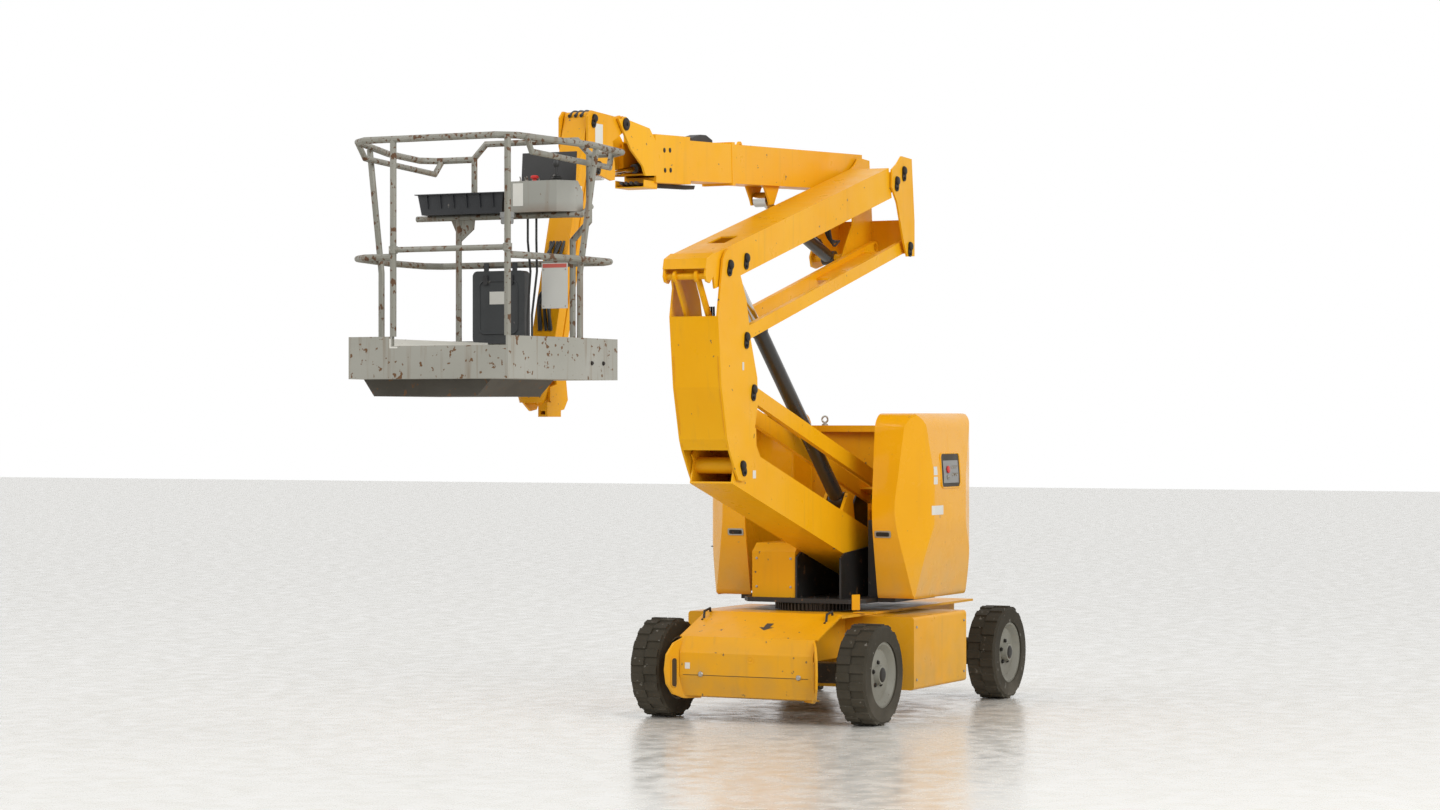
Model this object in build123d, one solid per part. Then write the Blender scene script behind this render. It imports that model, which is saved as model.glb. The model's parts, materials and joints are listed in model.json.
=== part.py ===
from build123d import *
import math
import os

os.makedirs("parts", exist_ok=True)

# Self-propelled articulating boom lift, electric, with two equal arms, a telescopic boom and a jib.
# Millimetres, +X towards the chassis front, +Y to the machine's left, +Z up, floor at Z 0.
# Sizes along X are measured from the slewing axis; each node is saved about the middle of the
# whole machine's footprint, which is the row's origin.

# ---------------------------------------------------------------- driving dimensions
# wheels and chassis
WHEELBASE = 2000
FRONT_AXLE_X = 700
MACHINE_WIDTH = 1500
TYRE_RADIUS = 290
TYRE_WIDTH = 186
LUG_HEIGHT = 9
LUG_COUNT = 18
LUG_SHOULDER = 10
RIM_RADIUS = 190
KINGPIN_FROM_SIDE = 150
KINGPIN_RADIUS = 18
FRAME_HALF_WIDTH = 300
FRAME_BOTTOM = 170
DECK_TOP = 610
DECK_THICKNESS = 14
NOSE_X = 975
NOSE_HALF_WIDTH = 440
CHEEK_THICKNESS = 12
SIDE_BOX_FRONT = 240
SIDE_BOX_REAR = -580
SIDE_BOX_TOP = 600
# slewing part
RING_RADIUS = 240
RING_TEETH = 60
RING_TOP = 662
TURRET_PLATE = 26
TAIL_X = -1040
COVER_TOP = 1790
COVER_WALL = 14
# arm group: plates from the outside in, measured from the arms' middle plane
ARM_Y = 110
CHEEK_OUT = 150
CHEEK_IN = 138
ARM_HALF = 132
ARM_WALL = 10
LINK_OUT = 114
LINK_IN = 82
SYNC_OUT = 73
SYNC_IN = 58
PIN_RADIUS = 24
SYNC_PIN_RADIUS = 18
LIFT_RADIUS = 45
LIFT_ROD_RADIUS = 30
PIN_FIT = 0.05
OPEN_PIVOT_FIT = 2
# arm group: places and lengths at rest
FOOT_PIN = (-645, 850)
LOWER_ARM_LENGTH = 2292
LOWER_ARM_ANGLE = 16.4
LOWER_ARM_DEPTH = 240
FOOT_LINK_STEP = (-144, 424)
KNEE_STEP = (157, 1109)
UPPER_ARM_LENGTH = 2420
UPPER_ARM_ANGLE = 14.8
UPPER_ARM_DEPTH = 187
HEAD_LINK_STEP = (-208, -394)
LOWER_LINK_DEPTH = 92
UPPER_LINK_DEPTH = 76
# boom and jib; each place is a step from the pin it hangs on
BOOM_Y = -150
BOOM_HALF = 95
BOOM_DEPTH = 225
BOOM_WALL = 8
BOOM_PIVOT_STEP = (-111, 70)
BOOM_ANGLE = -2.3
BOOM_REACH = 2740
BOOM_CYLINDER_STEP = (99, -471)
BOOM_LUG_ALONG = 1189
BOOM_LUG_BELOW = 191
BOOM_CYLINDER_RADIUS = 40
BOOM_ROD_RADIUS = 26
FLY_HALF = 78
FLY_DEPTH = 186
LEVEL_PIN_STEP = (368, 156)
LEVEL_LUG_STEP = (109, -280)
LEVEL_FOOT_STEP = (-498, 31)
LEVEL_RADIUS = 26
LEVEL_ROD_RADIUS = 15
LEVEL_PIN_RADIUS = 12
JIB_TOP_STEP = (324, 5)
JIB_LENGTH = 1299
JIB_ANGLE = -73.4
JIB_LINK_STEP = (-50, -245)
# basket: widths are from its own middle, heights from its floor's underside
ROTATOR_STEP = 129
BASKET_REAR_STEP = 65
BASKET_LENGTH = 985
BASKET_MIDDLE_Y = -140
FLOOR_HALF_REAR = 522
FLOOR_HALF_FRONT = 452
SIDE_BEND = 545
FLOOR_DROP = 148
FLOOR_THICKNESS = 50
TOE_BOARD = 207
GATE_BOARD = 161
TOP_RAIL_FRONT = 1173
TOP_RAIL_REAR = 1145
TOP_RAIL_HALF = 593
HAND_RAIL_DROP = 72
MID_RAIL = 596
MID_RAIL_HALF = 560
HOOP_TOP = 1222
RAIL_RADIUS = 17

# ---------------------------------------------------------------- worked-out places
REAR_AXLE_X = FRONT_AXLE_X - WHEELBASE
KINGPIN_Y = MACHINE_WIDTH / 2 - KINGPIN_FROM_SIDE
WEB_FACE = MACHINE_WIDTH / 2 - 42
WEB_THICKNESS = 18
TYRE_OUT = MACHINE_WIDTH / 2
TYRE_IN = TYRE_OUT - TYRE_WIDTH


def step(point, length, angle):
    """The point at a length and an angle, in degrees above +X, from another one."""
    turn = math.radians(angle)
    return (point[0] + length * math.cos(turn), point[1] + length * math.sin(turn))


def moved(point, shift):
    return (point[0] + shift[0], point[1] + shift[1])


KNEE_PIN = step(FOOT_PIN, LOWER_ARM_LENGTH, LOWER_ARM_ANGLE)
FOOT_LINK_PIN = moved(FOOT_PIN, FOOT_LINK_STEP)
KNEE_LINK_PIN = moved(KNEE_PIN, FOOT_LINK_STEP)
ELBOW_PIN = moved(KNEE_PIN, KNEE_STEP)
ELBOW_LINK_PIN = moved(ELBOW_PIN, HEAD_LINK_STEP)
HEAD_PIN = step(ELBOW_PIN, UPPER_ARM_LENGTH, 180 - UPPER_ARM_ANGLE)
HEAD_LINK_PIN = moved(HEAD_PIN, HEAD_LINK_STEP)
SYNC_TOP_PIN = moved(ELBOW_PIN, (230, -70))
SYNC_FOOT_PIN = moved(KNEE_PIN, (-170, 168))
LIFT_FOOT_PIN = moved(FOOT_PIN, (565, 417))
LIFT_TOP_PIN = moved(ELBOW_PIN, (-244, 49))
BOOM_PIVOT = moved(HEAD_PIN, BOOM_PIVOT_STEP)
BOOM_END = step(BOOM_PIVOT, BOOM_REACH, BOOM_ANGLE)
BOOM_CYLINDER_PIN = moved(HEAD_PIN, BOOM_CYLINDER_STEP)
BOOM_LUG_PIN = step(step(BOOM_PIVOT, BOOM_LUG_ALONG, BOOM_ANGLE), BOOM_LUG_BELOW, BOOM_ANGLE - 90)
LEVEL_PIN = moved(BOOM_END, LEVEL_PIN_STEP)
LEVEL_LUG_PIN = moved(LEVEL_PIN, LEVEL_LUG_STEP)
LEVEL_FOOT_PIN = moved(BOOM_END, LEVEL_FOOT_STEP)
JIB_TOP_PIN = moved(LEVEL_PIN, JIB_TOP_STEP)
JIB_FOOT_PIN = step(JIB_TOP_PIN, JIB_LENGTH, JIB_ANGLE)
LINK_TOP_PIN = moved(JIB_TOP_PIN, JIB_LINK_STEP)
LINK_FOOT_PIN = moved(JIB_FOOT_PIN, JIB_LINK_STEP)
ROTATOR_X = JIB_FOOT_PIN[0] + ROTATOR_STEP
BASKET_REAR = ROTATOR_X + BASKET_REAR_STEP
BASKET_FRONT = BASKET_REAR + BASKET_LENGTH
BASKET_BEND = BASKET_FRONT - SIDE_BEND
FLOOR_UNDERSIDE = JIB_FOOT_PIN[1] - FLOOR_DROP
ORIGIN_X = (BASKET_FRONT + REAR_AXLE_X - TYRE_RADIUS) / 2


# ---------------------------------------------------------------- shapes used throughout
def block(x0, x1, y0, y1, z0, z1):
    """A box between two corners."""
    return Pos((x0 + x1) / 2, (y0 + y1) / 2, (z0 + z1) / 2) * Box(x1 - x0, y1 - y0, z1 - z0)


def profile(points, y0, y1):
    """A side outline, X and Z, made as thick as two Y planes."""
    outline = Polyline(*[(x, y0, z) for x, z in points], close=True)
    return extrude(make_face(outline), amount=y1 - y0, dir=(0, 1, 0))


def plan(points, z0, z1):
    """A plan outline, X and Y, between two heights."""
    outline = Polyline(*[(x, y, z0) for x, y in points], close=True)
    return extrude(make_face(outline), amount=z1 - z0, dir=(0, 0, 1))


def pin(point, radius, y0, y1):
    """A round pin or bore across the machine."""
    return Pos(point[0], (y0 + y1) / 2, point[1]) * Rot(90, 0, 0) * Cylinder(radius, y1 - y0)


def along(start, angle, shape):
    """A shape drawn along +X from the origin, set at a pin and tilted up by an angle."""
    return Pos(start[0], 0, start[1]) * Rot(0, -angle, 0) * shape


def both(middle, inner, outer):
    """The two Y ranges of a pair of plates on either side of a middle plane."""
    return ((middle - outer, middle - inner), (middle + inner, middle + outer))


def rod(start, end, radius):
    """A round bar between two points."""
    axis = Vector(*end) - Vector(*start)
    plane = Plane(origin=start, z_dir=axis)
    return plane * Cylinder(radius, axis.length, align=(Align.CENTER, Align.CENTER, Align.MIN))


def tube_run(points, radius):
    """A bar with a ten-sided section through points, mitred where it bends."""
    path = Polyline(*points)
    start = Plane(origin=path @ 0, z_dir=path % 0)
    section = start * RegularPolygon(radius, 10)
    return sweep(section, path=path, transition=Transition.RIGHT)


nodes = {}


# ---------------------------------------------------------------- wheels and axles
def tyre_shape():
    """A solid rubber tyre about its own centre: two rows of lugs, half a pitch apart, and a bore."""
    body = Cylinder(TYRE_RADIUS - LUG_HEIGHT, TYRE_WIDTH)
    body = chamfer(body.edges().filter_by(GeomType.CIRCLE), 12)
    row_width = TYRE_WIDTH / 2 - LUG_SHOULDER
    pitch = 360 / LUG_COUNT
    crown = TYRE_RADIUS / math.cos(math.radians(0.22 * pitch))
    for row, first in ((1, 0), (-1, pitch / 2)):
        outline = []
        for lug in range(LUG_COUNT):
            for share, radius in (
                (-0.30, TYRE_RADIUS - LUG_HEIGHT - 5),
                (-0.22, crown),
                (0.22, crown),
                (0.30, TYRE_RADIUS - LUG_HEIGHT - 5),
            ):
                turn = math.radians(first + (lug + share) * pitch)
                outline.append((radius * math.cos(turn), radius * math.sin(turn)))
        body += plan(outline, *sorted((row, row * row_width)))
    return body - Cylinder(RIM_RADIUS, 2 * TYRE_WIDTH)


TYRE = Rot(90, 0, 0) * tyre_shape()


def tyre(x, side):
    """A tyre in its place; the right-hand one mirrors the left-hand one."""
    shape = TYRE if side == 1 else mirror(TYRE, about=Plane.XZ)
    return Pos(x, side * (TYRE_OUT - TYRE_WIDTH / 2), TYRE_RADIUS) * shape


RIM_LIP = 10
RIM_WALL = 14


def rim(x, side, hub_out):
    """A dished steel rim, turned about its axle: a drum, a coned web near the outer face and a hub."""
    outer = TYRE_OUT - RIM_LIP
    inner = TYRE_IN + RIM_LIP
    bore = RIM_RADIUS - RIM_WALL
    section = [
        (0, WEB_FACE + hub_out),
        (52, WEB_FACE + hub_out),
        (62, WEB_FACE),
        (bore - 28, WEB_FACE),
        (bore, outer),
        (RIM_RADIUS, outer),
        (RIM_RADIUS, inner),
        (bore, inner),
        (bore, HUB_SEAT),
        (0, HUB_SEAT),
    ]
    outline = Polyline(*[(radius, 0, y) for radius, y in section], close=True)
    turned = revolve(make_face(outline), Axis.Z)
    return Pos(x, 0, TYRE_RADIUS) * Rot(-90 * side, 0, 0) * turned


HUB_SEAT = WEB_FACE - WEB_THICKNESS
for place, axle_x, hub_out in (("front", FRONT_AXLE_X, 30), ("rear", REAR_AXLE_X, 36)):
    for side_name, side in (("left", 1), ("right", -1)):
        nodes[f"tyre_{place}_{side_name}"] = tyre(axle_x, side)
        nodes[f"rim_{place}_{side_name}"] = rim(axle_x, side, hub_out)

KNUCKLE_HEIGHT = 120
KNUCKLE_RADIUS = 36
FORK_HEIGHT = 190
STEER_ARM_LENGTH = 120
TIE_ROD_Z = 270
AXLE_TOP = 350


def knuckle(side):
    """A steering knuckle: kingpin barrel, stub axle flange and a steering arm to the rear."""
    axis = (FRONT_AXLE_X, side * KINGPIN_Y)
    barrel = Pos(*axis, TYRE_RADIUS) * Cylinder(KNUCKLE_RADIUS, KNUCKLE_HEIGHT)
    centre = (FRONT_AXLE_X, TYRE_RADIUS)
    stub = pin(centre, 34, *sorted((side * KINGPIN_Y, side * HUB_SEAT)))
    flange = pin(centre, 90, *sorted((side * (HUB_SEAT - 16), side * HUB_SEAT)))
    arm_x = FRONT_AXLE_X - STEER_ARM_LENGTH
    arm = block(arm_x - 20, FRONT_AXLE_X, axis[1] - 18, axis[1] + 18, TIE_ROD_Z + 28, TIE_ROD_Z + 50)
    ball = Pos(arm_x, axis[1], TIE_ROD_Z + 6) * Cylinder(BALL_RADIUS, 50)
    bore = Pos(*axis, TYRE_RADIUS) * Cylinder(KINGPIN_RADIUS + PIN_FIT, 2 * FORK_HEIGHT)
    return barrel + stub + flange + arm - bore + ball


BALL_RADIUS = 12
nodes["knuckle_left"] = knuckle(1)
nodes["knuckle_right"] = knuckle(-1)

TIE_X = FRONT_AXLE_X - STEER_ARM_LENGTH


def tie_rod():
    """The bar between the steering arms: a close eye on the left, a wide one on the right."""
    shape = rod((TIE_X, -KINGPIN_Y, TIE_ROD_Z), (TIE_X, KINGPIN_Y, TIE_ROD_Z), 12)
    for side, fit in ((1, PIN_FIT), (-1, OPEN_PIVOT_FIT)):
        shape += Pos(TIE_X, side * KINGPIN_Y, TIE_ROD_Z) * Cylinder(24, 30)
        shape -= Pos(TIE_X, side * KINGPIN_Y, TIE_ROD_Z) * Cylinder(BALL_RADIUS + fit, 40)
    return shape


nodes["tie_rod"] = tie_rod()


def steer_axle():
    """The front cross member: a box beam with a fork and a kingpin at each end."""
    x0, x1 = FRONT_AXLE_X - 60, FRONT_AXLE_X + 60
    post_in, post_out = KINGPIN_Y - 130, KINGPIN_Y - 85
    shape = block(x0, x1, -post_in, post_in, AXLE_TOP - 115, AXLE_TOP)
    for side in (1, -1):
        post = sorted((side * post_in, side * post_out))
        tip = sorted((side * post_out, side * (KINGPIN_Y + 40)))
        low = TYRE_RADIUS - FORK_HEIGHT / 2
        high = TYRE_RADIUS + FORK_HEIGHT / 2
        gap = KNUCKLE_HEIGHT / 2 + 2
        shape += block(x0 + 15, x1 - 15, *post, low, high)
        shape += block(x0 + 15, x1 - 15, *tip, low, TYRE_RADIUS - gap)
        shape += block(x0 + 15, x1 - 15, *tip, TYRE_RADIUS + gap, high)
        shape += Pos(FRONT_AXLE_X, side * KINGPIN_Y, TYRE_RADIUS) * Cylinder(KINGPIN_RADIUS, FORK_HEIGHT)
    return shape


nodes["steer_axle"] = steer_axle()


def drive_axle():
    """The rear cross member with a round drive motor and gearbox running into each rim."""
    shape = block(REAR_AXLE_X - 60, REAR_AXLE_X + 60, -FRAME_HALF_WIDTH, FRAME_HALF_WIDTH, AXLE_TOP - 120, AXLE_TOP)
    centre = (REAR_AXLE_X, TYRE_RADIUS)
    for side in (1, -1):
        shape += pin(centre, 85, *sorted((side * FRAME_HALF_WIDTH, side * (TYRE_IN - 30))))
        shape += pin(centre, 120, *sorted((side * (TYRE_IN - 30), side * HUB_SEAT)))
    return shape


nodes["drive_axle"] = drive_axle()

# ---------------------------------------------------------------- chassis
FRAME_FRONT = FRONT_AXLE_X + 190
FRAME_REAR = REAR_AXLE_X - 170


NOSE_TOP_X = 600
NOSE_FOLD = (NOSE_X - 30, 494)
SKIN = 8
SEAT_GAP = 0.2


def cover_underside(x):
    """The height of the front cover's sloping underside, less the gap that it seats with."""
    slope = (NOSE_FOLD[1] - DECK_TOP - 12) / (NOSE_FOLD[0] - NOSE_TOP_X)
    skin = SKIN * (1 - slope)
    return DECK_TOP + 12 - skin + slope * (x - NOSE_TOP_X) - SEAT_GAP


def chassis_frame():
    """The welded frame: two rails, cross members, the deck plate, ballast and the cover's rests."""
    shape = None
    for y0, y1 in both(0, FRAME_HALF_WIDTH - 60, FRAME_HALF_WIDTH):
        rail = profile(
            [
                (FRAME_REAR, 380),
                (FRAME_REAR + 60, AXLE_TOP),
                (FRAME_FRONT, AXLE_TOP),
                (FRAME_FRONT, 480),
                (FRONT_AXLE_X - 150, DECK_TOP - DECK_THICKNESS),
                (FRAME_REAR, DECK_TOP - DECK_THICKNESS),
            ],
            y0,
            y1,
        )
        shape = rail if shape is None else shape + rail
    shape += block(FRAME_REAR, FRONT_AXLE_X - 120, -430, 430, DECK_TOP - DECK_THICKNESS, DECK_TOP)
    for x0, x1 in ((FRAME_REAR, FRAME_REAR + 30), (-330, -300), (300, 330), (FRAME_FRONT - 20, FRAME_FRONT)):
        top = DECK_TOP - DECK_THICKNESS if x1 < 400 else 480
        shape += block(x0, x1, -FRAME_HALF_WIDTH, FRAME_HALF_WIDTH, AXLE_TOP, top)
    ballast = block(SIDE_BOX_REAR, SIDE_BOX_FRONT, -FRAME_HALF_WIDTH, FRAME_HALF_WIDTH, FRAME_BOTTOM, AXLE_TOP)
    for y0, y1 in both(0, FRAME_HALF_WIDTH - 50, FRAME_HALF_WIDTH - 10):
        rest = [
            (FRAME_FRONT - 60, 470),
            (FRAME_FRONT - 60, cover_underside(FRAME_FRONT - 60)),
            (FRAME_FRONT - 20, cover_underside(FRAME_FRONT - 20)),
            (FRAME_FRONT - 20, 470),
        ]
        shape += profile(rest, y0, y1)
    return shape + ballast


nodes["chassis_frame"] = chassis_frame()

def front_cover():
    """The folded front cover: a sloped top, an upright face and a flared cheek on each side."""
    outside = [
        (NOSE_TOP_X, DECK_TOP + 12),
        NOSE_FOLD,
        (NOSE_X, 400),
        (NOSE_X, 270),
        (NOSE_X - 30, 150),
        (NOSE_X - 90, 138),
    ]
    inside = [(x - SKIN, z - SKIN) for x, z in outside[:-2]]
    inside += [(NOSE_X - 30 - SKIN, 150 + SKIN), (NOSE_X - 90, 138 + SKIN)]
    shape = profile(outside + inside[::-1], -NOSE_HALF_WIDTH + 15, NOSE_HALF_WIDTH - 15)
    top = outside[:2] + inside[:2][::-1]
    shape += profile(top, -NOSE_HALF_WIDTH, NOSE_HALF_WIDTH)
    flare = [(872, 340), (943, NOSE_HALF_WIDTH - 14), (1052, 492), (1052, 478), (952, 418), (884, 330)]
    cheek_side = [
        (860, 520),
        (905, 505),
        (1000, 455),
        (1040, 390),
        (1050, 300),
        (1040, 220),
        (1005, 160),
        (940, 132),
        (860, 132),
    ]
    rounded = profile(cheek_side, -600, 600)
    for side in (1, -1):
        cheek = plan([(x, side * y) for x, y in flare], 120, 560) & rounded
        shape += cheek
    return shape


nodes["front_cover"] = front_cover()


def grab_handle(y):
    """A bent round bar for the hand, standing on the front cover's slope."""
    slope = (NOSE_FOLD[1] - DECK_TOP - 12) / (NOSE_FOLD[0] - NOSE_TOP_X)
    top = [(x, DECK_TOP + 12 + SEAT_GAP + slope * (x - NOSE_TOP_X)) for x in (560, 612, 704, 760)]
    rear, front = top[1], top[2]
    route = [
        (rear[0] - 2, rear[1] - 10),
        (rear[0] + 8, rear[1] + 20),
        (front[0] - 12, front[1] + 42),
        (front[0] - 1, front[1] - 10),
    ]
    below = profile([top[0], top[3], (760, 480), (560, 480)], y - 20, y + 20)
    return tube_run([(x, y, z) for x, z in route], 7) - below


nodes["grab_handle_left"] = grab_handle(385)
nodes["grab_handle_right"] = grab_handle(-405)


def side_box(side):
    """A folded steel box between the wheels."""
    inner = FRAME_HALF_WIDTH
    outer = MACHINE_WIDTH / 2 - 10
    box = block(SIDE_BOX_REAR, SIDE_BOX_FRONT, *sorted((side * inner, side * outer)), 165, SIDE_BOX_TOP - 6)
    outer_edges = [e for e in box.edges().filter_by(Axis.X) if abs(e.center().Y) > outer - 1]
    return fillet(outer_edges, 20)


nodes["side_box_left"] = side_box(1)
nodes["side_box_right"] = side_box(-1)


def slew_gear():
    """The fixed toothed ring that the slewing part turns on."""
    pitch = 360 / RING_TEETH
    outline = []
    for tooth in range(RING_TEETH):
        for share, radius in ((-0.30, -9), (-0.16, 6), (0.16, 6), (0.30, -9)):
            turn = math.radians((tooth + share) * pitch)
            reach = RING_RADIUS + radius
            outline.append((reach * math.cos(turn), reach * math.sin(turn)))
    teeth = plan(outline, DECK_TOP + 6, RING_TOP - 6)
    return teeth + Pos(0, 0, (DECK_TOP + RING_TOP) / 2) * Cylinder(RING_RADIUS - 14, RING_TOP - DECK_TOP)


nodes["slew_gear"] = slew_gear()

# ---------------------------------------------------------------- slewing part
PLATE_TOP = RING_TOP + TURRET_PLATE
PEDESTAL_FRONT = 210


def turret_base():
    """The base plate with the two upright cheeks that hold the arms' foot pins."""
    half_outline = [(260, 330), (160, 400), (0, 405), (-20, 510), (-640, 510), (-660, 400), (-960, 360)]
    outline = half_outline + [(x, -y) for x, y in reversed(half_outline)]
    shape = plan(outline, RING_TOP, PLATE_TOP)
    for y0, y1 in both(ARM_Y, CHEEK_IN, CHEEK_OUT):
        cheek = [
            (PEDESTAL_FRONT, PLATE_TOP),
            (PEDESTAL_FRONT, PLATE_TOP + 240),
            (PEDESTAL_FRONT - 60, PLATE_TOP + 270),
            (-420, 1000),
            (FOOT_LINK_PIN[0] + 70, FOOT_LINK_PIN[1] + 60),
            (FOOT_LINK_PIN[0] - 50, FOOT_LINK_PIN[1] + 60),
            (FOOT_LINK_PIN[0] - 60, PLATE_TOP),
        ]
        shape += profile(cheek, y0, y1)
    shape += pin(FOOT_PIN, PIN_RADIUS + 8, ARM_Y - CHEEK_OUT, ARM_Y + CHEEK_OUT)
    shape += pin(FOOT_LINK_PIN, PIN_RADIUS, ARM_Y - CHEEK_OUT, ARM_Y + CHEEK_OUT)
    return shape


nodes["turret_base"] = turret_base()


HINGE_X = -872
HINGE_Y = 584
HINGE_PIN_RADIUS = 8
HINGE_KNUCKLE_RADIUS = 15
HINGE_HEIGHTS = (1120, 1560)
HINGE_KNUCKLE_HEIGHT = 60
TAIL_FRONT = -900
TAIL_HALF = 560
SHELF_Z = 1180
TAIL_TOP = 1715


def tail_plan(front, tail, half, z0, z1):
    """The tail's outline from above, a straight front and one arc behind, between two heights."""
    chord = Line((front, -half), (front, half))
    arc = ThreePointArc((front, half), (tail, 0), (front, -half))
    return Pos(0, 0, z0) * extrude(make_face(Curve() + [chord, arc]), amount=z1 - z0)


def counterweight():
    """The cast tail: a heavy foot, a wall above it and the hinge pins of the side covers."""
    shape = tail_plan(TAIL_FRONT, TAIL_X, TAIL_HALF, PLATE_TOP, TAIL_TOP)
    shape -= tail_plan(TAIL_FRONT + 1, TAIL_X + 70, TAIL_HALF - 50, SHELF_Z, TAIL_TOP - 40)
    shape -= block(-960, -600, ARM_Y - CHEEK_OUT - 1, ARM_Y + CHEEK_OUT + 1, PLATE_TOP - 1, SHELF_Z + 1)
    lug_outline = [
        (TAIL_FRONT - 20, TAIL_HALF - 22),
        (TAIL_FRONT - 2, TAIL_HALF - 2),
        (HINGE_X + 12, HINGE_Y - 9),
        (HINGE_X + 12, HINGE_Y + 9),
        (HINGE_X, HINGE_Y + 14),
        (HINGE_X - 12, HINGE_Y + 10),
        (TAIL_FRONT - 34, TAIL_HALF - 22),
    ]
    half = HINGE_KNUCKLE_HEIGHT / 2
    for side in (1, -1):
        outline = [(x, side * y) for x, y in lug_outline]
        for z in HINGE_HEIGHTS:
            for low in (z - half - 14, z + half + 1):
                shape += plan(outline, low, low + 13)
            hinge_pin = Pos(HINGE_X, side * HINGE_Y, z) * Cylinder(HINGE_PIN_RADIUS, 2 * half + 28)
            shape += hinge_pin
    return shape


nodes["counterweight"] = counterweight()

COVER_SIDE = 735
COVER_REAR = -858
COVER_FRONT = 130
COVER_OPENING = 420
COVER_BOTTOM = PLATE_TOP - 18


def rounded(points, radii):
    """A closed flat outline whose corners are rounded, each by its own radius."""
    face = make_face(Polyline(*points, close=True))
    for (x, y), radius in zip(points, radii):
        if radius:
            corner = face.vertices().sort_by_distance((x, y, 0))[0]
            face = fillet(corner, radius)
    return face


def cover_form(inset):
    """What a left side cover encloses, drawn in by an inset; three outlines are crossed."""
    side, rear, front, top = COVER_SIDE - inset, COVER_REAR + inset, COVER_FRONT - inset, COVER_TOP - inset
    low = COVER_BOTTOM - 2 * inset
    from_above = rounded(
        [(rear, 280), (rear, 560 - inset), (-740, side - 34), (-560, side + 6), (-60, side + 6), (front, 560), (front, 280)],
        (0, 40, 120, 300, 200, 60, 0),
    )
    from_side = rounded(
        [(rear, low), (rear, 1060), (rear, top), (front - 60, top), (front, 1180), (front - 100, low)],
        (150, 200, 110, 110, 900, 60),
    )
    from_front = rounded(
        [(270, low - 10), (650 - inset, low - 10), (side, 1120), (side, 1420), (side - 35, top + 10), (270, top + 10)],
        (0, 70, 500, 600, 110, 0),
    )
    shape = Pos(0, 0, low - 20) * extrude(from_above, amount=top - low + 40)
    across = Plane(origin=(0, 900, 0), x_dir=(1, 0, 0), z_dir=(0, -1, 0))
    lengthways = Plane(origin=(-900, 0, 0), x_dir=(0, 1, 0), z_dir=(1, 0, 0))
    shape &= across * extrude(from_side, amount=900)
    shape &= lengthways * extrude(from_front, amount=1200)
    return shape


def cover_left():
    """The moulded left side cover: a thin bowed shell, open inwards and below, with hinge knuckles."""
    shell = cover_form(0) - cover_form(COVER_WALL)
    shell -= block(-1000, 300, 0, COVER_OPENING, 0, 2000)
    half = HINGE_KNUCKLE_HEIGHT / 2
    leaf_outline = [
        (HINGE_X - 4, HINGE_Y - 13),
        (COVER_REAR + 10, HINGE_Y - 48),
        (COVER_REAR + 10, HINGE_Y - 24),
        (HINGE_X + 6, HINGE_Y + 13),
    ]
    for z in HINGE_HEIGHTS:
        shell += plan(leaf_outline, z - half, z + half)
        shell += Pos(HINGE_X, HINGE_Y, z) * Cylinder(HINGE_KNUCKLE_RADIUS, 2 * half)
        shell -= Pos(HINGE_X, HINGE_Y, z) * Cylinder(HINGE_PIN_RADIUS + PIN_FIT, 4 * half)
    return shell


nodes["cover_left"] = cover_left()
nodes["cover_right"] = mirror(nodes["cover_left"], about=Plane.XZ)
nodes["inner_box"] = profile(
    [(200, PLATE_TOP), (200, 960), (140, 1010), (-250, 1010), (-250, PLATE_TOP)], -330, ARM_Y - CHEEK_OUT - 6
)
nodes["battery_block"] = block(-600, -30, 330, 590, PLATE_TOP, 1150)


# ---------------------------------------------------------------- arm group
def arm_box(length_from, length_to, depth, half, wall):
    """A hollow box section drawn along +X."""
    outer = block(length_from, length_to, -half, half, -depth / 2, depth / 2)
    inner = block(length_from - 1, length_to + 1, -half + wall, half - wall, -depth / 2 + wall, depth / 2 - wall)
    return Pos(0, ARM_Y, 0) * (outer - inner)


def lower_arm():
    """The lower arm: a box section, a raised ear at the knee and a lug for the lift cylinder."""
    body = arm_box(-70, LOWER_ARM_LENGTH + 60, LOWER_ARM_DEPTH, ARM_HALF, ARM_WALL)
    shape = along(FOOT_PIN, LOWER_ARM_ANGLE, body)
    for y0, y1 in both(ARM_Y, ARM_HALF - 12, ARM_HALF):
        ear = [
            step(KNEE_PIN, 420, 180 + LOWER_ARM_ANGLE),
            moved(SYNC_FOOT_PIN, (-50, -60)),
            moved(SYNC_FOOT_PIN, (-45, 40)),
            moved(SYNC_FOOT_PIN, (45, 40)),
            moved(KNEE_PIN, (80, 60)),
            moved(KNEE_PIN, (0, -40)),
        ]
        shape += profile(ear, y0, y1)
        shape += pin(SYNC_FOOT_PIN, PIN_RADIUS + 14, y0, y1)
    for y0, y1 in both(ARM_Y, 55, 75):
        lug = [
            moved(LIFT_FOOT_PIN, (-90, -156)),
            moved(LIFT_FOOT_PIN, (-45, 30)),
            moved(LIFT_FOOT_PIN, (20, 45)),
            moved(LIFT_FOOT_PIN, (55, 0)),
            moved(LIFT_FOOT_PIN, (130, -96)),
        ]
        shape += profile(lug, y0, y1)
    shape += pin(LIFT_FOOT_PIN, PIN_RADIUS, ARM_Y - 75, ARM_Y + 75)
    boss = pin(FOOT_PIN, PIN_RADIUS + 30, ARM_Y - ARM_HALF, ARM_Y + ARM_HALF)
    boss += pin(KNEE_PIN, PIN_RADIUS + 22, ARM_Y - ARM_HALF, ARM_Y + ARM_HALF)
    shape += boss
    shape -= pin(FOOT_PIN, PIN_RADIUS + 8 + PIN_FIT, ARM_Y - 200, ARM_Y + 200)
    shape -= pin(KNEE_PIN, PIN_RADIUS + PIN_FIT, ARM_Y - 200, ARM_Y + 200)
    return shape


nodes["lower_arm"] = lower_arm()


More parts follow.
